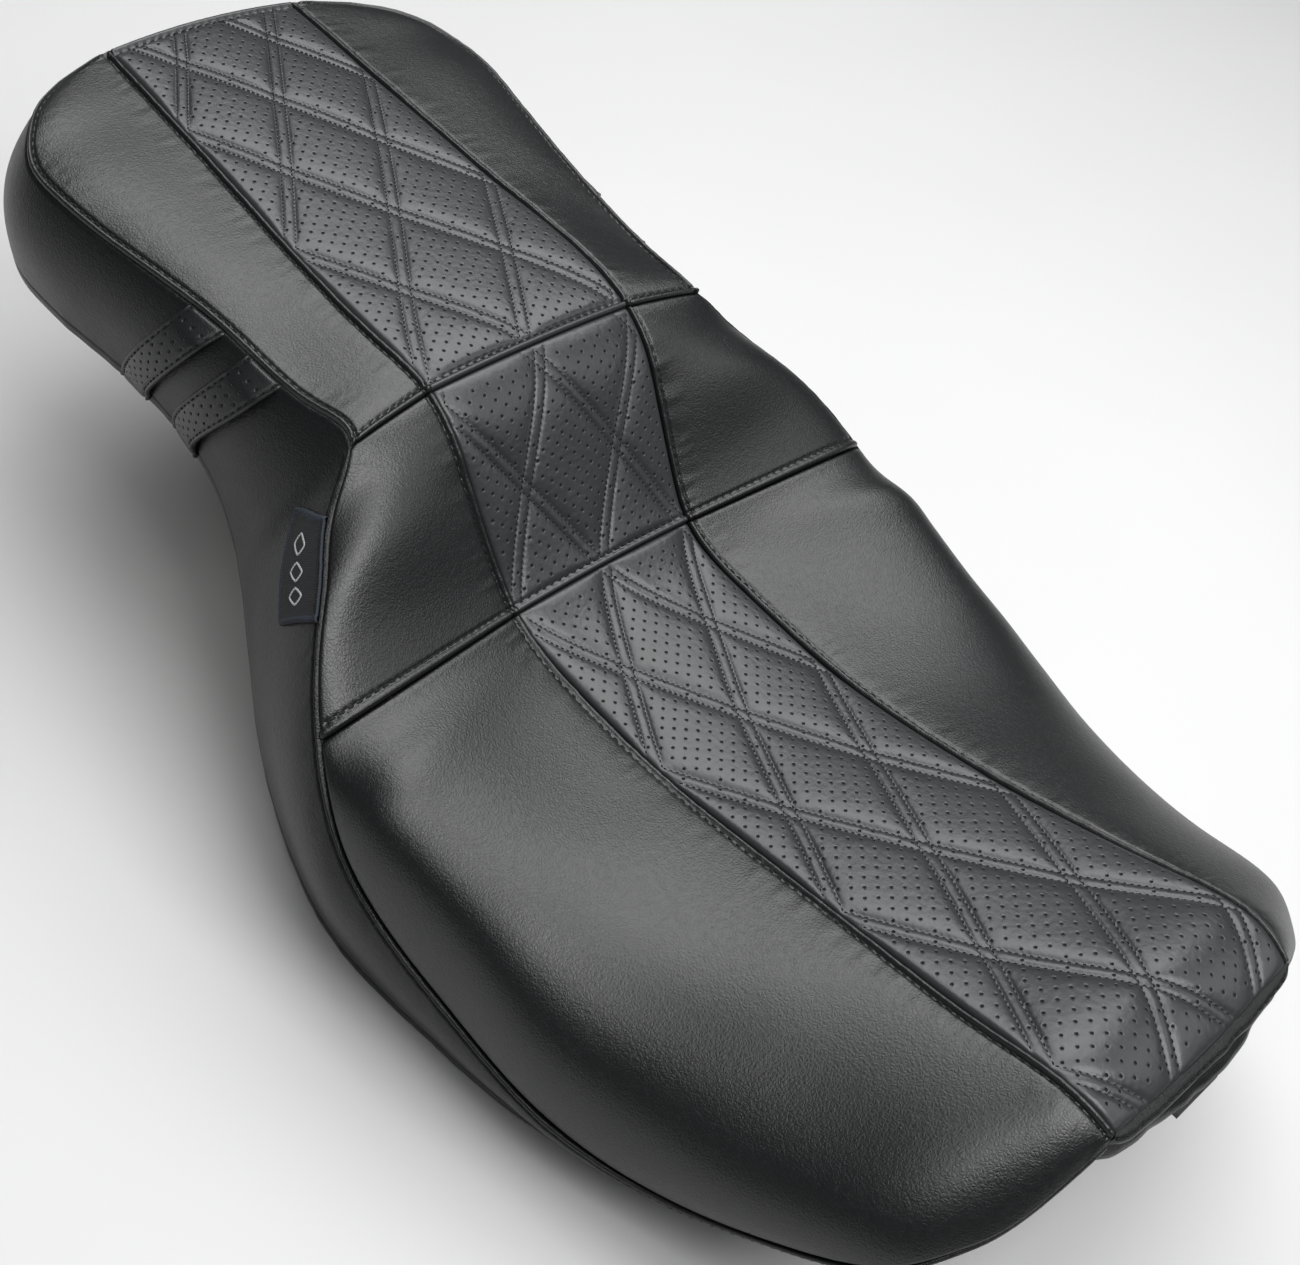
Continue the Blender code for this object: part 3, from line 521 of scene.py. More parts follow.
def vinyl(name, colour, roughness, grain=1.0, specular=0.5):
    """Grained vinyl: uneven pebbles, fine pores and soft creases, with uneven gloss and tone."""
    mat, tree, shader, place = node_material(name)
    uneven = stretched(tree, place, PEBBLE * 1.6, 0.45 / PEBBLE)
    pebbles = ramp(tree, cells(tree, uneven, 1 / PEBBLE), 0, 1, 0.30)
    pores = noise(tree, place, PORES, 2.0)
    creases = noise(tree, uneven, CREASES, 4.0, 0.62)
    soft = bump(tree, creases, 0.0007, 0.26 * grain)
    pebbled = bump(tree, pebbles, 0.00022, 0.38 * grain, soft)
    fine = bump(tree, pores, 0.00007, 0.5 * grain, pebbled)
    tone = noise(tree, place, 35, 5.0)
    set_inputs(tree, shader, {
        "Base Color": mix_colours(tree, tone, *tones(colour, 0.82, 1.22)), "Normal": fine,
        "Roughness": ramp(tree, creases, roughness - 0.05, roughness + 0.07),
        "Specular IOR Level": specular})
    return mat


def thread_material(name, colour):
    mat, tree, shader, place = node_material(name)
    strands = noise(tree, place, 3800, 2.0)
    set_inputs(tree, shader, {
        "Base Color": mix_colours(tree, strands, *tones(colour, 0.6, 1.0)),
        "Normal": bump(tree, strands, 0.0001, 0.6), "Roughness": 0.75, "Specular IOR Level": 0.25})
    return mat


def speckled(name, colour, spread, scale, roughness, depth, metallic=0.0, strength=0.6):
    """General moulded, carpeted or plated finish: a speckled tone with matching relief."""
    mat, tree, shader, place = node_material(name)
    grain = noise(tree, place, scale, 6.0, 0.62)
    set_inputs(tree, shader, {
        "Base Color": mix_colours(tree, grain, *tones(colour, 1 - spread, 1 + spread)),
        "Roughness": ramp(tree, grain, roughness - 0.08, min(1.0, roughness + 0.08)),
        "Normal": bump(tree, grain, depth, strength), "Metallic": metallic})
    return mat


def woven(name, colour, spread, pitch):
    """Fine plain weave from two crossed sets of bands."""
    mat, tree, shader, place = node_material(name)
    inputs = {"Vector": place, "Scale": 0.314 / pitch, "Distortion": 0.6, "Detail": 1.0}
    warp, weft = (add_node(tree, "TexWave", inputs, wave_type='BANDS', bands_direction=way).outputs["Fac"]
                  for way in ('X', 'Z'))
    crossed = add_node(tree, "Math", {0: warp, 1: weft}, operation='MULTIPLY').outputs[0]
    set_inputs(tree, shader, {
        "Base Color": mix_colours(tree, crossed, *tones(colour, 1 - spread, 1 + spread)),
        "Normal": bump(tree, crossed, 0.0002, 0.7), "Roughness": 0.85})
    return mat


smooth_vinyl = vinyl("smooth_vinyl_grained", (0.0050, 0.0054, 0.0058), 0.36, grain=0.75)
skirt_vinyl = vinyl("skirt_vinyl_grained", (0.0045, 0.0049, 0.0053), 0.38, specular=0.32)
quilt_vinyl = vinyl("perforated_vinyl_grained", (0.0180, 0.0196, 0.0208), 0.35, grain=0.22)
strap_vinyl = vinyl("strap_vinyl_grained", (0.0062, 0.0067, 0.0072), 0.38, grain=0.6)
hole_dark = speckled("perforation_shadow", (0.004, 0.004, 0.004), 0.4, 900, 0.9, 0.0001)
thread = thread_material("black_thread", (0.004, 0.0045, 0.005))


# ---- quilted strips

def quilt_field(section, u, v):
    """Distance (mm) from the middle of each family's nearest pair of lines, and run along it."""
    s = quilt_number[section](v)[..., 0][:, None]
    slope = np.gradient(s[:, 0], v * DM)[:, None]
    half = seam_line(v)[..., 2][:, None]
    lattice_u = ((u + QUILT_SHIFT) / QUILT_SPREAD)[None, :]
    rate = np.sqrt(slope ** 2 + (1 / (QUILT_SPREAD * half)) ** 2)
    families = ((s + turn, s - turn) for turn in (-lattice_u, lattice_u))
    return [((a - np.round(a)) / rate, other * QUILT_STITCHES) for a, other in families]


def quilt_height(section, u, v):
    """Puffed diamonds between pairs of stitched lines, dipped at every needle hole."""
    puff, needles = 1.0, 0.0
    for distance, run in quilt_field(section, u, v):
        inside = np.abs(distance) < QUILT_PAIR
        d = np.abs(np.abs(distance) - QUILT_PAIR)
        tube = 0.45 * np.sqrt(np.maximum(0, 1 - (distance / QUILT_PAIR) ** 2))
        diamond = 1 - np.exp(-(d / QUILT_SOFTNESS) ** 0.8)
        puff = puff * np.where(inside, tube, diamond)
        hole = 0.5 + 0.5 * np.cos(2 * math.pi * run)
        needles = needles - 0.35 * hole * bell(d, 0, 0.8)
    return QUILT_PUFF[section] * puff - 0.5 + needles


def perforate(panel, section):
    """Marks the vertices that are perforation centres, clear of seams and quilting."""
    first, last = SPANS[section]
    i, j = np.indices((len(panel.v), len(panel.u)))
    holes = (i % CELLS_ALONG == 0) & (j % CELLS_ACROSS == 0)
    holes &= (i // CELLS_ALONG + j // CELLS_ACROSS) % 2 == 0
    for distance, _ in quilt_field(section, panel.u, panel.v):
        holes &= np.abs(np.abs(distance) - QUILT_PAIR) > HOLE_CLEAR_LINES
    side = (1 - np.abs(panel.u))[None, :] * seam_line(panel.v)[:, 2][:, None]
    ends = np.minimum(panel.v - first, last - panel.v)[:, None] * DM
    return holes & (side > HOLE_CLEAR_SIDES) & (ends > HOLE_CLEAR_ENDS)


def open_holes(points, normals, holes, cols):
    """Points, and faces of the lips, walls and dark floors, with a round hole at every marked vertex."""
    around = np.array([(-1, -1), (-1, 0), (-1, 1), (0, 1), (1, 1), (1, 0), (1, -1), (0, -1)])
    at = np.argwhere(holes)
    flat = points.reshape(-1, 3).copy()
    centre_id = at[:, 0] * cols + at[:, 1]
    ring_id = (at[:, None, 0] + around[None, :, 0]) * cols + at[:, None, 1] + around[None, :, 1]
    centre = flat[centre_id]
    n = normals.reshape(-1, 3)[centre_id]
    across = unit(flat[centre_id + 1] - flat[centre_id - 1])
    along = unit(np.cross(n, across))
    down = flat[centre_id + cols] - flat[centre_id - cols]
    along = along * np.sign(np.sum(along * down, -1, keepdims=True))
    turn = np.arctan2(around[:, 0], around[:, 1])
    spoke = np.cos(turn)[None, :, None] * across[:, None] + np.sin(turn)[None, :, None] * along[:, None]
    rings = ((HOLE_RING, -0.02), (HOLE_RADIUS, 0.10), (HOLE_RADIUS * 0.86, 0.55))
    ring, rim, wall = (centre[:, None] + spoke * radius - n[:, None] * depth for radius, depth in rings)
    flat[ring_id] = ring
    flat[centre_id] = centre - n * HOLE_DEPTH
    count = len(at) * 8
    rim_id = len(flat) + np.arange(count).reshape(-1, 8)
    wall_id = rim_id + count

    def band(outer, inner):
        return np.stack([outer, np.roll(outer, -1, 1), np.roll(inner, -1, 1), inner], -1).reshape(-1, 4)

    bottom = np.stack([wall_id, np.roll(wall_id, -1, 1), np.repeat(centre_id[:, None], 8, 1)], -1)
    points = np.concatenate([flat, rim.reshape(-1, 3), wall.reshape(-1, 3)])
    return points, band(ring_id, rim_id), band(rim_id, wall_id), bottom.reshape(-1, 3)


def quilted_panel(section, ridges):
    first, last = SPANS[section]
    u = np.linspace(-1, 1, HOLES_ACROSS * CELLS_ACROSS + 1) * 0.994
    rows = int(round((last - first) / HOLE_PITCH[section])) * CELLS_ALONG + 1
    v = np.linspace(first + JOINT, last - JOINT, rows)
    panel = Panel(u, v, centre_surface(u, v))
    side = (1 - np.abs(u))[None, :] * seam_line(v)[:, 2][:, None]
    run = panel.widths()
    front = (v - first)[:, None] * DM + 0 * side
    rear = (last - v)[:, None] * DM + 0 * side
    soften = 1.0
    for d in (side, front, rear):
        soften = soften * (1 - np.exp(-(d / 3.4) ** 0.9))
    height = quilt_height(section, u, v) * soften + rolled(side, 1.6, 2.6)
    for d, ridge in zip((front, rear), ridges):
        if ridge:
            height = height * smoothstep(d, 2.5, 8.0) + ridged(d, run)
        else:
            height += rolled(d)
    height += 0.06 * smooth_noise(u[None, :] * 40 + 90, v[:, None] * 60, 11)
    panel.lift(height)
    points = panel.tucked()
    tuck = len(TUCK_DEPTHS)
    holes = np.zeros(points.shape[:2], bool)
    holes[tuck:-tuck, tuck:-tuck] = perforate(panel, section)
    normals = np.pad(panel.normals, ((tuck, tuck), (tuck, tuck), (0, 0)), "edge")
    flat, *rims = open_holes(points, normals, holes, points.shape[1])
    faces = [grid_faces(*points.shape[:2], keep=clear_cells(holes)), *rims]
    dark = np.repeat((0, 0, 1, 1), [len(f) for f in faces])
    piece = mesh_piece(section + "_quilted_panel", flat, faces, [quilt_vinyl, hole_dark],
                       dark)
    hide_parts(section + "_centre_cover", section + "_quilt_foam")
    quilt_stitches(section, panel)
    return panel


def lattice_place(section, sign, a, b):
    """Parameters u, v where line a of one family meets line b of the other."""
    u = (a - b) / 2 * sign
    return u * QUILT_SPREAD - QUILT_SHIFT, quilt_station[section]((a + b) / 2)[:, 0]


def quilt_stitches(section, panel):
    """Thread along every quilting line of a section."""
    first, last = SPANS[section]
    threads = []
    low, high = sorted(float(quilt_number[section](x)[0]) for x in (first, last))
    marks = np.arange(int((low - 2) * QUILT_STITCHES), int((high + 2) * QUILT_STITCHES))
    other = (marks + 0.5) / QUILT_STITCHES
    reach = QUILT_STITCH_SIZE[0] / 2 / QUILT_SIDE
    for sign in (-1, 1):
        for k in range(int(low) - 2, int(high) + 3):
            for offset in (-1, 1):
                a = k + offset * QUILT_PAIR * QUILT_PAIR_RATE
                u, v = lattice_place(section, sign, a, other)
                ok = ((np.abs(u) < QUILT_CLEAR_U) & (v > first + QUILT_CLEAR_V)
                      & (v < last - QUILT_CLEAR_V))
                if ok.any():
                    here, normals = panel.at(u[ok], v[ok])
                    ahead, behind = (panel.at(*lattice_place(section, sign, a, other[ok] + step))[0]
                                     for step in (reach, -reach))
                    threads.append((here, ahead - behind, normals))
    stitches(section + "_quilt_thread", *(np.concatenate(part) for part in zip(*threads)),
             "perforated_vinyl", QUILT_STITCH_SIZE, lift=0.04)


# ---- plain pads

def pad_panel(section, ridges, edge_ridge, puff, grain_seed):
    first, last = SPANS[section]
    v = spaced(first + JOINT, last - JOINT, (last - first) * DM, 0.7, 1.6)
    u = spaced(0.003, 0.997, 150, 0.6, 1.6)
    panel = Panel(u, v, side_surface(u, v))
    width = panel.widths()
    across = width + 0.3
    outer = width[:, -1:] - width + 0.3
    run = run_along(panel.base[:, len(u) // 2])[:, None] + 0 * width
    front = (v - first)[:, None] * DM + 0 * width
    rear = (last - v)[:, None] * DM + 0 * width
    room = smoothstep(width[:, -1:], 2, 9)
    height = ridged(across, run) * room + puckers(across, run, grain_seed) * room
    swell = 1.0
    for d in (across - STITCH_SET, outer, front, rear):
        swell = swell * (1 - np.exp(-np.maximum(d, 0) / 7.0))
    height += puff * swell * room
    if edge_ridge:
        height += ridged(outer, run) * room + puckers(outer, run, grain_seed + 5, size=0.2)
    else:
        height += rolled(outer) * room
    for d, ridge in zip((front, rear), ridges):
        if ridge is not None:
            height += (ridged(d, width) if ridge else rolled(d))
    height += 0.35 * smooth_noise(width / 42 + 7, run / 30, grain_seed + 9) * swell
    panel.lift(height)
    points = panel.tucked()
    for side, word in SIDES:
        piece = mesh_piece(section + "_" + word + "_pad", mirrored(points, side),
                           [grid_faces(*points.shape[:2], flip=side < 0)], [smooth_vinyl])
        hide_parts(section + "_" + word + "_cover")
    return panel


def column_of(panel, distance, from_outer=False):
    """Parameter u of every row at a distance (mm) from the long seam or from the edge seam."""
    width = panel.widths()
    target = width[:, -1] - distance if from_outer else np.full(len(width), distance)
    return np.array([np.interp(t, w, panel.u) for t, w in zip(target, width)])


# ridges: whether the front and the rear seam is topstitched on this panel; None joins without a fold
quilted = {section: quilted_panel(section, ridges) for section, ridges in (
    ("rider", (False, False)), ("lumbar", (True, False)), ("pillion", (True, True)))}
pads = {
    "rider": pad_panel("rider", (False, False), False, 0.9, 20),
    "lumbar": pad_panel("lumbar", (True, False), False, 1.2, 40),
    "pillion": pad_panel("pillion", (True, None), True, 0.8, 60),
}


# ---- skirts

def skirt_path():
    """Stations, edge seam and hem of the left skirt, every 1.4 mm from the nose to the tail's middle."""
    v = np.linspace(0.012, TAIL, 3000)
    half = float(seam_line(TAIL)[2])
    share = np.linspace(1, 0, 200)[1:]
    top_end = centre_surface(share, np.array([TAIL]))[0]
    side = hem_line(TAIL)
    foot_end = np.stack([side[0] * share, side[1] + 3.5 * (1 - share ** 2), 0 * share + side[2]], 1)
    top = np.concatenate([edge_line(v), top_end])
    foot = np.concatenate([hem_line(v), foot_end])
    station = np.concatenate([v, TAIL + (1 - share) * half / DM])
    run = run_along((top + foot) / 2)
    marks = np.linspace(0, run[-1], int(run[-1] / 1.4) + 1)
    return np.interp(marks, run, station), read_along(marks, run, top), read_along(marks, run, foot)


def outward_of(line):
    """Evened-out horizontal directions away from the seat along a line."""
    reach = 9
    along = np.gradient(line[:, :2], axis=0)
    out = unit(np.stack([along[:, 1], -along[:, 0], 0 * along[:, 0]], 1))
    out[-1] = (0, 1, 0)
    mirror = out[-reach - 1:-1][::-1] * np.array([-1, 1, 1])
    padded = np.concatenate([np.repeat(out[:1], reach, 0), out, mirror])
    kernel = np.hanning(2 * reach + 3)[1:-1]
    kernel = kernel / kernel.sum()
    return unit(np.stack([np.convolve(padded[:, k], kernel, "valid") for k in range(3)], 1))


def skirt_panel():
    station, top, foot = skirt_path()
    out, hem_out = outward_of(top), outward_of(foot)
    down = unit(foot - top)
    tall = norm(foot - top, axis=1)[:, None]
    first = top + 0.5 * down
    chord = norm(foot - first, axis=1)[:, None]
    a = np.radians(SKIRT_FALL + 8 * smoothstep(station, 5.0, 6.6)
                   + 10 * bell(station, 2.7, 0.7))[:, None]
    b = math.radians(HEM_FALL)
    start_bend = first + SKIRT_PULL * chord * (out * np.cos(a) + np.array([0, 0, -1]) * np.sin(a))
    end_bend = foot - SKIRT_PULL * chord * (hem_out * math.cos(b) + np.array([0, 0, -math.sin(b)]))
    h = spaced(0.0, 1.0, 90, 0.6, 1.8)
    panel = Panel(h, station, bezier(h, first, start_bend, end_bend, foot))
    width = panel.widths()
    run = run_along(top)[:, None] + 0 * width
    room = smoothstep(tall, 12, 40)
    stitched = 1 - smoothstep(station, 4.52, 4.62)[:, None]
    height = stitched * (ridged(width, run) + puckers(width, run, 80, size=0.2)) * room
    height += (1 - stitched) * rolled(width) * room
    below = width[:, -1:] - width
    height -= 0.7 * bell(below, 6.5, 1.1) * room
    height += 0.35 * smooth_noise(run / 38 + 3, width / 30 + 5, 90) * room
    fullness = 1.2 * smoothstep(station, 1.9, 2.7) + 1.2 * smoothstep(station, 4.6, 5.6)
    height += fullness[:, None] * np.sin(math.pi * h[None, :] ** 1.3) ** 0.8 * room
    height += 0.25 * smooth_noise(run / 9, width / 60, 93) * bell(below, 0, 14) * room
    panel.lift(height)
    front = smoothstep(station, 0.1, 0.5) - smoothstep(station, 1.3, 2.3)
    turned = HEM_RETURN * (0.4 + 0.6 * smoothstep(station, 0.1, 0.5) + 0.8 * front)[:, None]
    under = []
    for share, rise in ((0.08, -0.9), (0.25, -1.5), (0.55, -1.1), (0.8, 1.2), (1.0, 3.4)):
        lift = (rise + 13 * front * share ** 2)[:, None] * np.array([0, 0, 1])
        under.append(panel.points[:, -1] - hem_out * turned * share + lift)
    points = np.concatenate([panel.points, np.stack(under, 1)], 1)
    tuck = panel.points[:, :1] - panel.normals[:, :1] * np.array([2.6, 1.2])[None, :, None]
    points = np.concatenate([tuck, points], 1)
    seam = points[-1:] - np.array([[[0, 0.7, 0]], [[0, 1.9, 0]], [[0, 3.4, 0]]])
    points[-1, :, 1] -= 0.25
    start = points[:1] + np.array([[[-4.5, 3.0, 0]], [[-2.0, 1.0, 0]]])
    points = np.concatenate([start, points, seam], 0)
    for side, word in SIDES:
        piece = mesh_piece("skirt_" + word + "_cover", mirrored(points, side),
                           [grid_faces(*points.shape[:2], flip=side < 0)], [skirt_vinyl])
        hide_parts("skirt_" + word)
    return panel


skirt = skirt_panel()


# ---- topstitching

def both_sides(name, positions, normals):
    """Topstitches along a line of the left side and along its mirror image."""
    row = along_line(positions, normals)
    for side, word in SIDES:
        stitches(name + "_" + word, *(mirrored(part, side) for part in row))


def between(panel, first, last):
    return panel.v[(panel.v > first) & (panel.v < last)]


def seam_row(name, panel, v, distance, from_outer=False):
    """Topstitches at a distance from a panel's inner or outer border."""
    both_sides(name, *panel.at(np.interp(v, panel.v, column_of(panel, distance, from_outer)), v))


def seam_rows():
    """Topstitching along the long, edge and cross seams."""
    inset = STITCH_SET - 0.3
    for section, pad in pads.items():
        v = between(pad, pad.v[0] + 0.03, pad.v[-1] - 0.03)
        wide = np.interp(v, pad.v, pad.widths()[:, -1]) > 25
        seam_row(section + "_long_seam_thread", pad, v[wide], inset)
    pad = pads["pillion"]
    seam_row("pillion_edge_thread", pad, between(pad, PILLION_CROSS + 0.05, TAIL - 0.06), inset, True)
    seam_row("rider_edge_thread", skirt, between(skirt, 0.35, PILLION_CROSS - 0.06), STITCH_SET)
    for name, section, v in (("rider_cross", "lumbar", RIDER_CROSS + STITCH_SET / DM),
                             ("pillion_cross", "pillion", PILLION_CROSS + STITCH_SET / DM),
                             ("tail", "pillion", TAIL - STITCH_SET / DM)):
        across = np.full(200, v)
        u = np.linspace(0.03, 0.6 if name == "tail" else 0.97, 200)
        both_sides(name + "_pad_thread", *pads[section].at(u, across))
        row = along_line(*quilted[section].at(np.linspace(-0.96, 0.96, 200), across))
        stitches(name + "_strip_thread", *row, "perforated_vinyl")


seam_rows()


# ---- foam core

def foam_core():
    """The moulded foam inside, as one closed form under the panels."""
    v = np.linspace(FOAM_FROM, FOAM_TO, 110)
    centre = centre_surface(np.linspace(0, 1, 9)[:-1], v)
    side = side_surface(np.linspace(0.02, 0.97, 14), v)
    half = np.concatenate([centre, side], 1)
    top = np.concatenate([mirrored(half[:, :0:-1], -1), half], 1)
    top = top - grid_normals(top) * FOAM_UNDER
    top[..., 0] *= FOAM_SHARE
    hem = hem_line(v)
    u = np.linspace(-1, 1, top.shape[1])[None, :, None]
    floor = hem[:, None, 2:3] + 20 + 16 * (1 - smoothstep(v, 1.2, 2.2))[:, None, None]
    low = np.concatenate([hem[:, None, :1] * 0.9 * u, hem[:, None, 1:2] + 0 * u, floor + 0 * u], 2)
    low[..., 2] = np.minimum(low[..., 2] + 46 * (1 - u[..., 0] ** 2), top[..., 2] - 12)
    rows, cols = top.shape[:2]
    points = np.concatenate([top.reshape(-1, 3), low.reshape(-1, 3)])
    count = rows * cols
    upper = grid_faces(rows, cols)
    lower = upper[:, ::-1] + count
    ids, following = border_ring(rows, cols)
    wall = np.stack([ids, ids + count, following + count, following], -1)
    material = speckled("moulded_foam", (0.62, 0.58, 0.44), 0.15, 700, 0.95, 0.0006)
    piece = mesh_piece("moulded_foam_core", points, [upper, lower, wall], [material])
    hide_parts("foam_bun")


foam_core()


# ---- straps, tab, nose band

def skirt_at(v, h):
    """Positions and normals of the left skirt at stations v and shares h of its height."""
    return (part.reshape(v.shape + (3,)) for part in skirt.at(h.reshape(-1), v.reshape(-1)))


def strap_perforations(rows, cols):
    """Staggered holes inside the topstitching of a strap."""
    holes = np.zeros((rows, cols), bool)
    for k, i in enumerate(range(6, rows - 5, 5)):
        holes[i, 8 + 4 * (k % 2):cols - 6:8] = True
    return holes


def strap_surface(middle, rake, rows, cols):
    """Outer and inner faces of a strap that bows away from the skirt."""
    edge_y = skirt.points[:, 0, 1]
    on_pillion = (skirt.v > PILLION_CROSS) & (skirt.v < 7.0)
    down, across = np.meshgrid(np.linspace(0, 0.99, rows), np.linspace(-1, 1, cols), indexing="ij")

    def on_skirt(a):
        y = middle + rake * down + a * STRAP_WIDTH / 2
        return skirt_at(np.interp(y, edge_y[on_pillion], skirt.v[on_pillion]), 0.01 + down * 0.985)

    points, normals = on_skirt(across)
    edge = (1 - np.abs(across)) * STRAP_WIDTH / 2
    bow = 2.4 * np.sin(math.pi * down) ** 0.6
    needle = 0.5 + 0.5 * np.cos(2 * math.pi * down * STRAP_LENGTH / STITCH_PITCH)
    fore = 3.2 * (1 - across) / 2
    ends = smoothstep(down, 0, 0.14) * (1 - 0.75 * smoothstep(down, 0.7, 0.98))
    lift = (1.5 + fore) * ends + bow * (1 - 0.15 * across ** 2) + rolled(edge, 1.3, 1.2)
    lift += 0.6 * bell(edge, 1.2, 0.7)
    lift -= (0.35 + 0.4 * needle) * bell(edge, STRAP_HEM, 0.7)
    lift += 0.5 * (1 - np.exp(-np.maximum(edge - STRAP_HEM, 0) / 2.5))
    inner, inner_normals = on_skirt(across * 0.82)
    return points + normals * lift[..., None], inner + inner_normals * 0.2


def strap(place, middle, rake):
    cols, rows = 33, 83
    surface, under = strap_surface(middle, rake, rows, cols)
    facing = -grid_normals(surface)
    holes = strap_perforations(rows, cols)
    flat, *rims = open_holes(surface, facing, holes, cols)
    quads = grid_faces(rows, cols, flip=True, keep=clear_cells(holes))
    lower, wall = slab_faces(rows, cols, len(flat))
    points = np.concatenate([flat, under.reshape(-1, 3)])
    faces = [quads, *(rim[:, ::-1] for rim in rims), lower, wall]
    dark = np.repeat((0, 0, 1, 1, 0, 0), [len(f) for f in faces])
    for side, word in SIDES:
        node = "strap_%s_%s" % (place, word)
        turned = [f[:, ::-1] if side < 0 else f for f in faces]
        piece = mesh_piece(node + "_vinyl", mirrored(points, side), turned, [strap_vinyl, hole_dark],
                           dark)
        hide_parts(node)
        for name, target in (("fore", STRAP_HEM), ("aft", STRAP_WIDTH - STRAP_HEM)):
            col = target / STRAP_WIDTH * (cols - 1)
            j, part = int(col), col - int(col)
            line = surface[:, j] * (1 - part) + surface[:, j + 1] * part
            row = along_line(line, facing[:, j])
            stitches(node + "_" + name + "_thread", *(mirrored(part, side) for part in row),
                     "perforated_vinyl")


for strap_row in STRAPS:
    strap(*strap_row)


def ribbon(name, line, normals, material, width=1.1, lift=0.28):
    """Low rounded band that follows a line of positions."""
    side = unit(np.cross(normals, unit(np.gradient(line, axis=0))))
    points = np.stack([line + side * (width / 2 * math.cos(a)) + normals * (lift * math.sin(a) + 0.05)
                       for a in np.linspace(0, math.pi, 7)], 1)
    mesh_piece(name, points, [grid_faces(*points.shape[:2])], [material])


def woven_tab():
    label = woven("woven_label_black", (0.012, 0.013, 0.015), 0.5, 0.0006)
    border = woven("woven_label_border", (0.016, 0.022, 0.036), 0.5, 0.0008)
    silver = woven("woven_label_motif", (0.42, 0.43, 0.45), 0.3, 0.0006)
    cols, rows = 60, 70
    grid_s, grid_d = np.meshgrid(np.linspace(0, 1, rows), np.linspace(0, 1, cols), indexing="ij")
    v = TAB_FROM + (TAB_TO - TAB_FROM) * grid_s + TAB_SHEAR * grid_d
    tall = norm(hem_line(v) - edge_line(v), axis=-1)
    h = (0.03 + grid_d * 0.97) * TAB_DEPTH / tall
    points, normals = skirt_at(v, h)
    lift = 1.9 + 0.5 * np.sin(grid_d * math.pi)
    edge = np.minimum(np.minimum(grid_s, 1 - grid_s) * TAB_WIDTH, (1 - grid_d) * TAB_DEPTH)
    lift += 0.55 * bell(edge, 1.3, 1.1) - 0.7 * bell(edge, 0, 0.5)
    top = points + normals * lift[..., None]
    low = points + normals * (lift - 1.2)[..., None]
    lower, wall = slab_faces(rows, cols, rows * cols)
    bordered = ((edge[:-1, :-1] + edge[1:, 1:]) / 2 < TAB_BORDER).reshape(-1).astype(int)
    faces = [grid_faces(rows, cols, flip=True), lower, wall]
    slots = np.concatenate([bordered, np.zeros(len(lower)), np.ones(len(wall))])
    points = np.concatenate([top.reshape(-1, 3), low.reshape(-1, 3)])
    piece = mesh_piece("woven_tab_label", mirrored(points, -1), [f[:, ::-1] for f in faces],
                       [label, border], slots)
    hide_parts("woven_tab")
    turn = np.linspace(0, 2 * math.pi, 25)
    diamond_s, diamond_d = (reach * np.sign(wave) * np.abs(wave) ** 1.6
                            for reach, wave in ((0.085, np.cos(turn)), (0.14, np.sin(turn))))
    for k, centre in enumerate((0.26, 0.5, 0.74)):
        row, col = (centre + diamond_s) * (rows - 1), (0.52 + diamond_d) * (cols - 1)
        line, facing = bilinear(top, row, col), normals[row.astype(int), col.astype(int)]
        ribbon("woven_tab_diamond_%d" % (k + 1), mirrored(line, -1), mirrored(facing, -1), silver)


woven_tab()


def nose_band():
    """Narrow folded band that closes the cover across the nose."""
    share = np.linspace(-1, 1, 170)
    top = centre_surface(share * 1.02, np.array([NOSE]))[0]
    side = hem_line(NOSE)
    foot = np.stack([(side[0] + 1.5) * share, side[1] - 3.0 * (1 - share ** 2),
                     side[2] - 2.0 + 1.0 * (1 - share ** 2)], 1)
    out = unit(np.stack([share * 0.35, -1 + 0 * share, 0 * share], 1))
    full = (0.85 + 0.3 * (1 - share ** 6)) * (1 - 0.85 * share ** 24)
    rows = []
    fold = ((0.00, -2.2), (0.01, 0.6), (0.04, 2.6), (0.11, 4.2), (0.20, 4.6), (0.28, 3.8), (0.34, 2.4),
            (0.38, 3.2), (0.47, 5.4), (0.60, 6.8), (0.76, 7.0), (0.92, 5.9), (1.03, 3.6), (1.07, 0.6),
            (1.00, -3.5))
    lump = 2.8 * np.exp(-((share - 0.06) / 0.42) ** 4)
    for t, swell in fold:
        ripple = (0.3 + 0.9 * t) * smooth_noise(share * 7 + 5, 0 * share + t * 2, 70)
        swell = swell * full + ripple + lump * smoothstep(t, 0.3, 0.5)
        rows.append(top + (foot - top) * t + out * swell[:, None])
    points = np.stack(rows, 1)
    piece = mesh_piece("nose_band_fold", points, [grid_faces(*points.shape[:2], flip=True)],
                       [skirt_vinyl])
    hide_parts("nose_band")
    up = unit(out + np.array([0, 0, 1.6]))
    line = top + (foot - top) * 0.06 + out * (3.0 * full)[:, None]
    stitches("nose_band_thread", *along_line(line, up), lift=0.3)


nose_band()


# ---- CAD nodes that stay

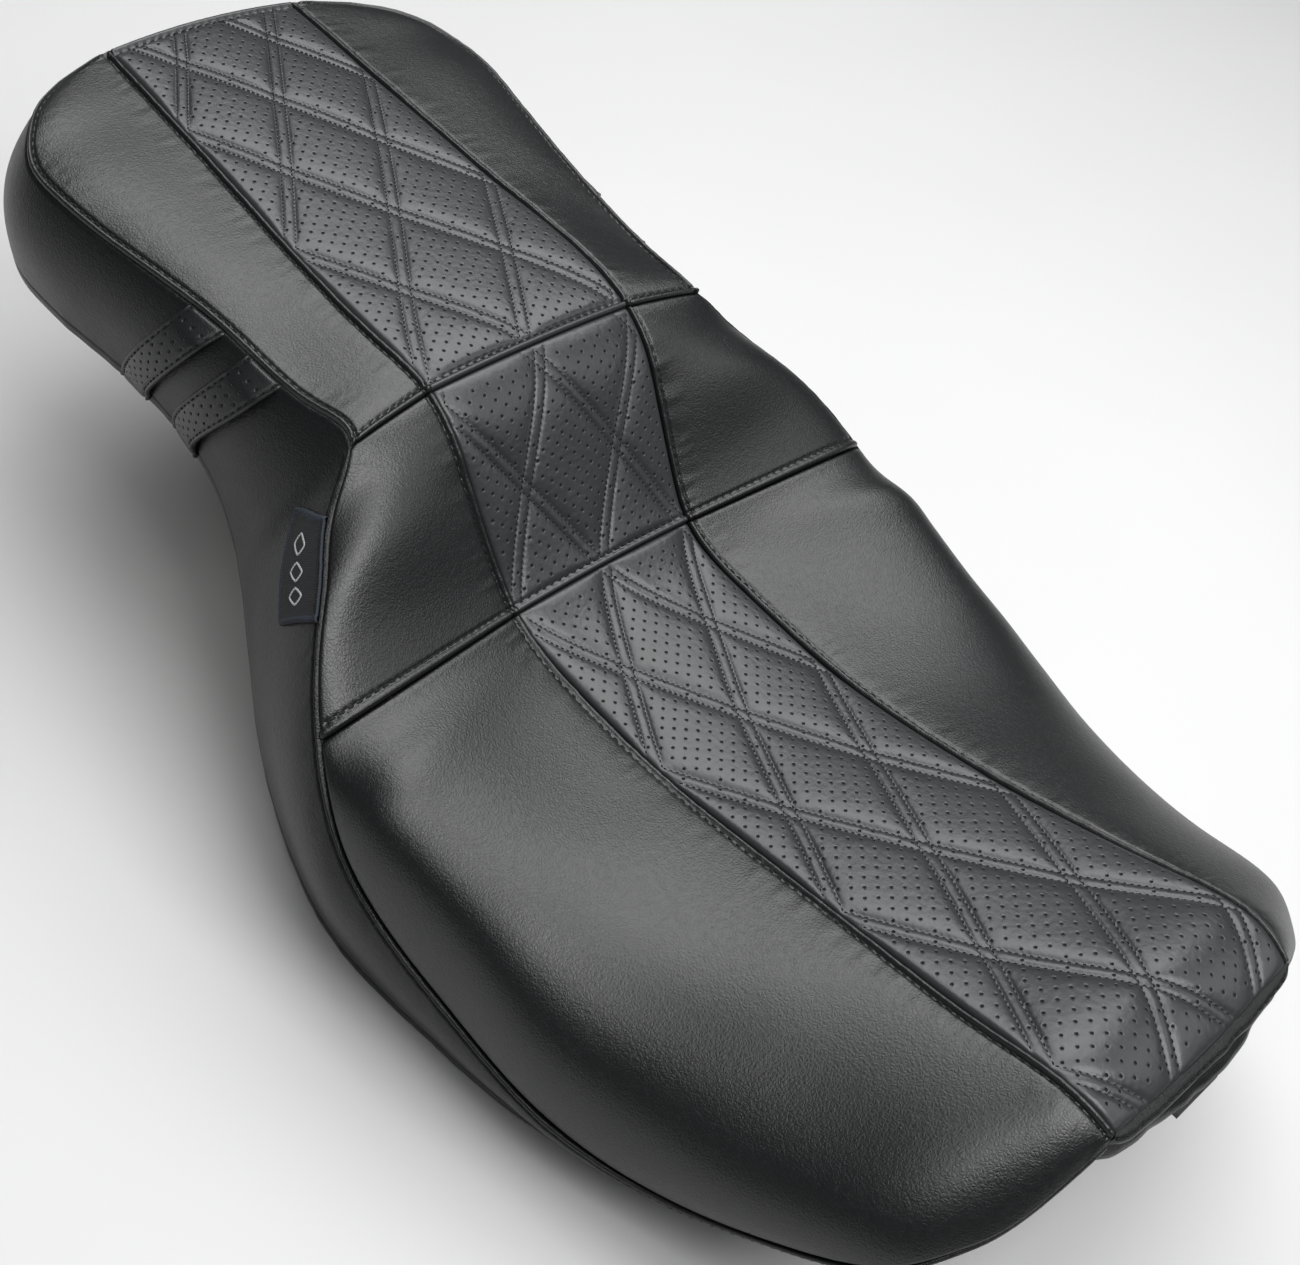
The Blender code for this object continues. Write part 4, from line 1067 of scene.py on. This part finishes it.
def finish_nodes():
    powder = speckled("black_powder_coat", (0.03, 0.03, 0.03), 0.2, 2200, 0.45, 0.00008)
    by_slot = {
        "pan_plastic": speckled("pan_plastic_textured", (0.020, 0.020, 0.021), 0.25, 1500, 0.58, 0.0002),
        "carpet": speckled("needled_carpet", (0.035, 0.035, 0.036), 0.55, 1100, 0.95, 0.0012, strength=0.9),
        "zinc_steel": speckled("zinc_plate", (0.56, 0.56, 0.54), 0.10, 260, 0.36, 0.00005, metallic=1.0),
        "rubber": speckled("moulded_rubber", (0.018, 0.018, 0.018), 0.3, 900, 0.85, 0.0002),
        "black_steel": powder,
    }
    slots = {row["node"]: row["material_slot"] for row in frame["record"]["subparts"]}
    for name, obj in frame["nodes"].items():
        finish = powder if name.startswith("front_tongue") else by_slot.get(slots.get(name))
        if finish is not None:
            if not obj.material_slots:
                obj.data.materials.append(finish)
            for slot in obj.material_slots:
                slot.material = finish


finish_nodes()


# ---- studio

def studio():
    mesh = bpy.data.meshes.new("studio_floor")
    corners = [(x * FLOOR_REACH, y * FLOOR_REACH, 0) for x, y in ((-1, -1), (1, -1), (1, 1), (-1, 1))]
    mesh.from_pydata(corners, [], [(0, 1, 2, 3)])
    floor = new_object("studio_floor", mesh)
    mat, tree, shader, place = node_material("pale_floor")
    tone = noise(tree, place, 3, 2.0)
    pale = mix_colours(tree, tone, (0.50, 0.50, 0.50), (0.54, 0.54, 0.54))
    set_inputs(tree, shader, {"Base Color": pale, "Roughness": 0.9})
    mesh.materials.append(mat)

    for name, place, aim_y, size, power in (
            ("rear", (0.62, 0.60, 1.56), 0.0, (1.9, 0.95), 29),
            ("front", (-0.12, -0.88, 1.58), 0.0, (1.0, 0.9), 23),
            ("top", (0.15, 0.05, 1.82), 0.0, (1.0, 1.0), 10),
            ("nose", (0.95, -0.97, 1.12), -0.05, (0.85, 0.85), 4.5),
            ("near", (-0.82, -0.30, 1.55), -0.05, (0.9, 0.8), 7)):
        light = bpy.data.lights.new(name + "_softbox", 'AREA')
        light.shape = 'RECTANGLE'
        light.size, light.size_y = size
        light.energy = power
        lamp = new_object(name + "_softbox", light)
        lamp.location = place
        lamp.rotation_euler = (Vector((0, aim_y, 0.1)) - Vector(place)).to_track_quat('-Z', 'Y').to_euler()
    world = bpy.data.worlds.new("studio_world")
    world.use_nodes = True
    set_inputs(world.node_tree, world.node_tree.nodes["Background"],
               {"Color": (0.95, 0.97, 1.0, 1), "Strength": 0.07})
    bpy.context.scene.world = world
    bpy.context.scene.view_settings.view_transform = 'Standard'


def camera():
    """Three-quarter view from the right rear, with the seat along the picture's diagonal."""
    place = Vector((-0.5789, -0.3874, 0.7965))
    heading, tilt, roll = (math.radians(a) for a in (58.346, -45.143, 18.873))
    forward = Vector((math.sin(heading) * math.cos(tilt), math.cos(heading) * math.cos(tilt), math.sin(tilt)))
    data = bpy.data.cameras.new("studio_camera")
    data.sensor_width = 36.0
    data.lens = 55.385
    data.clip_start, data.clip_end = 0.01, 50
    cam = new_object("studio_camera", data)
    turn = forward.to_track_quat('-Z', 'Y').to_matrix().to_4x4()
    cam.matrix_world = Matrix.Translation(place) @ turn @ Matrix.Rotation(roll, 4, 'Z')
    bpy.context.scene.camera = cam


studio()
camera()
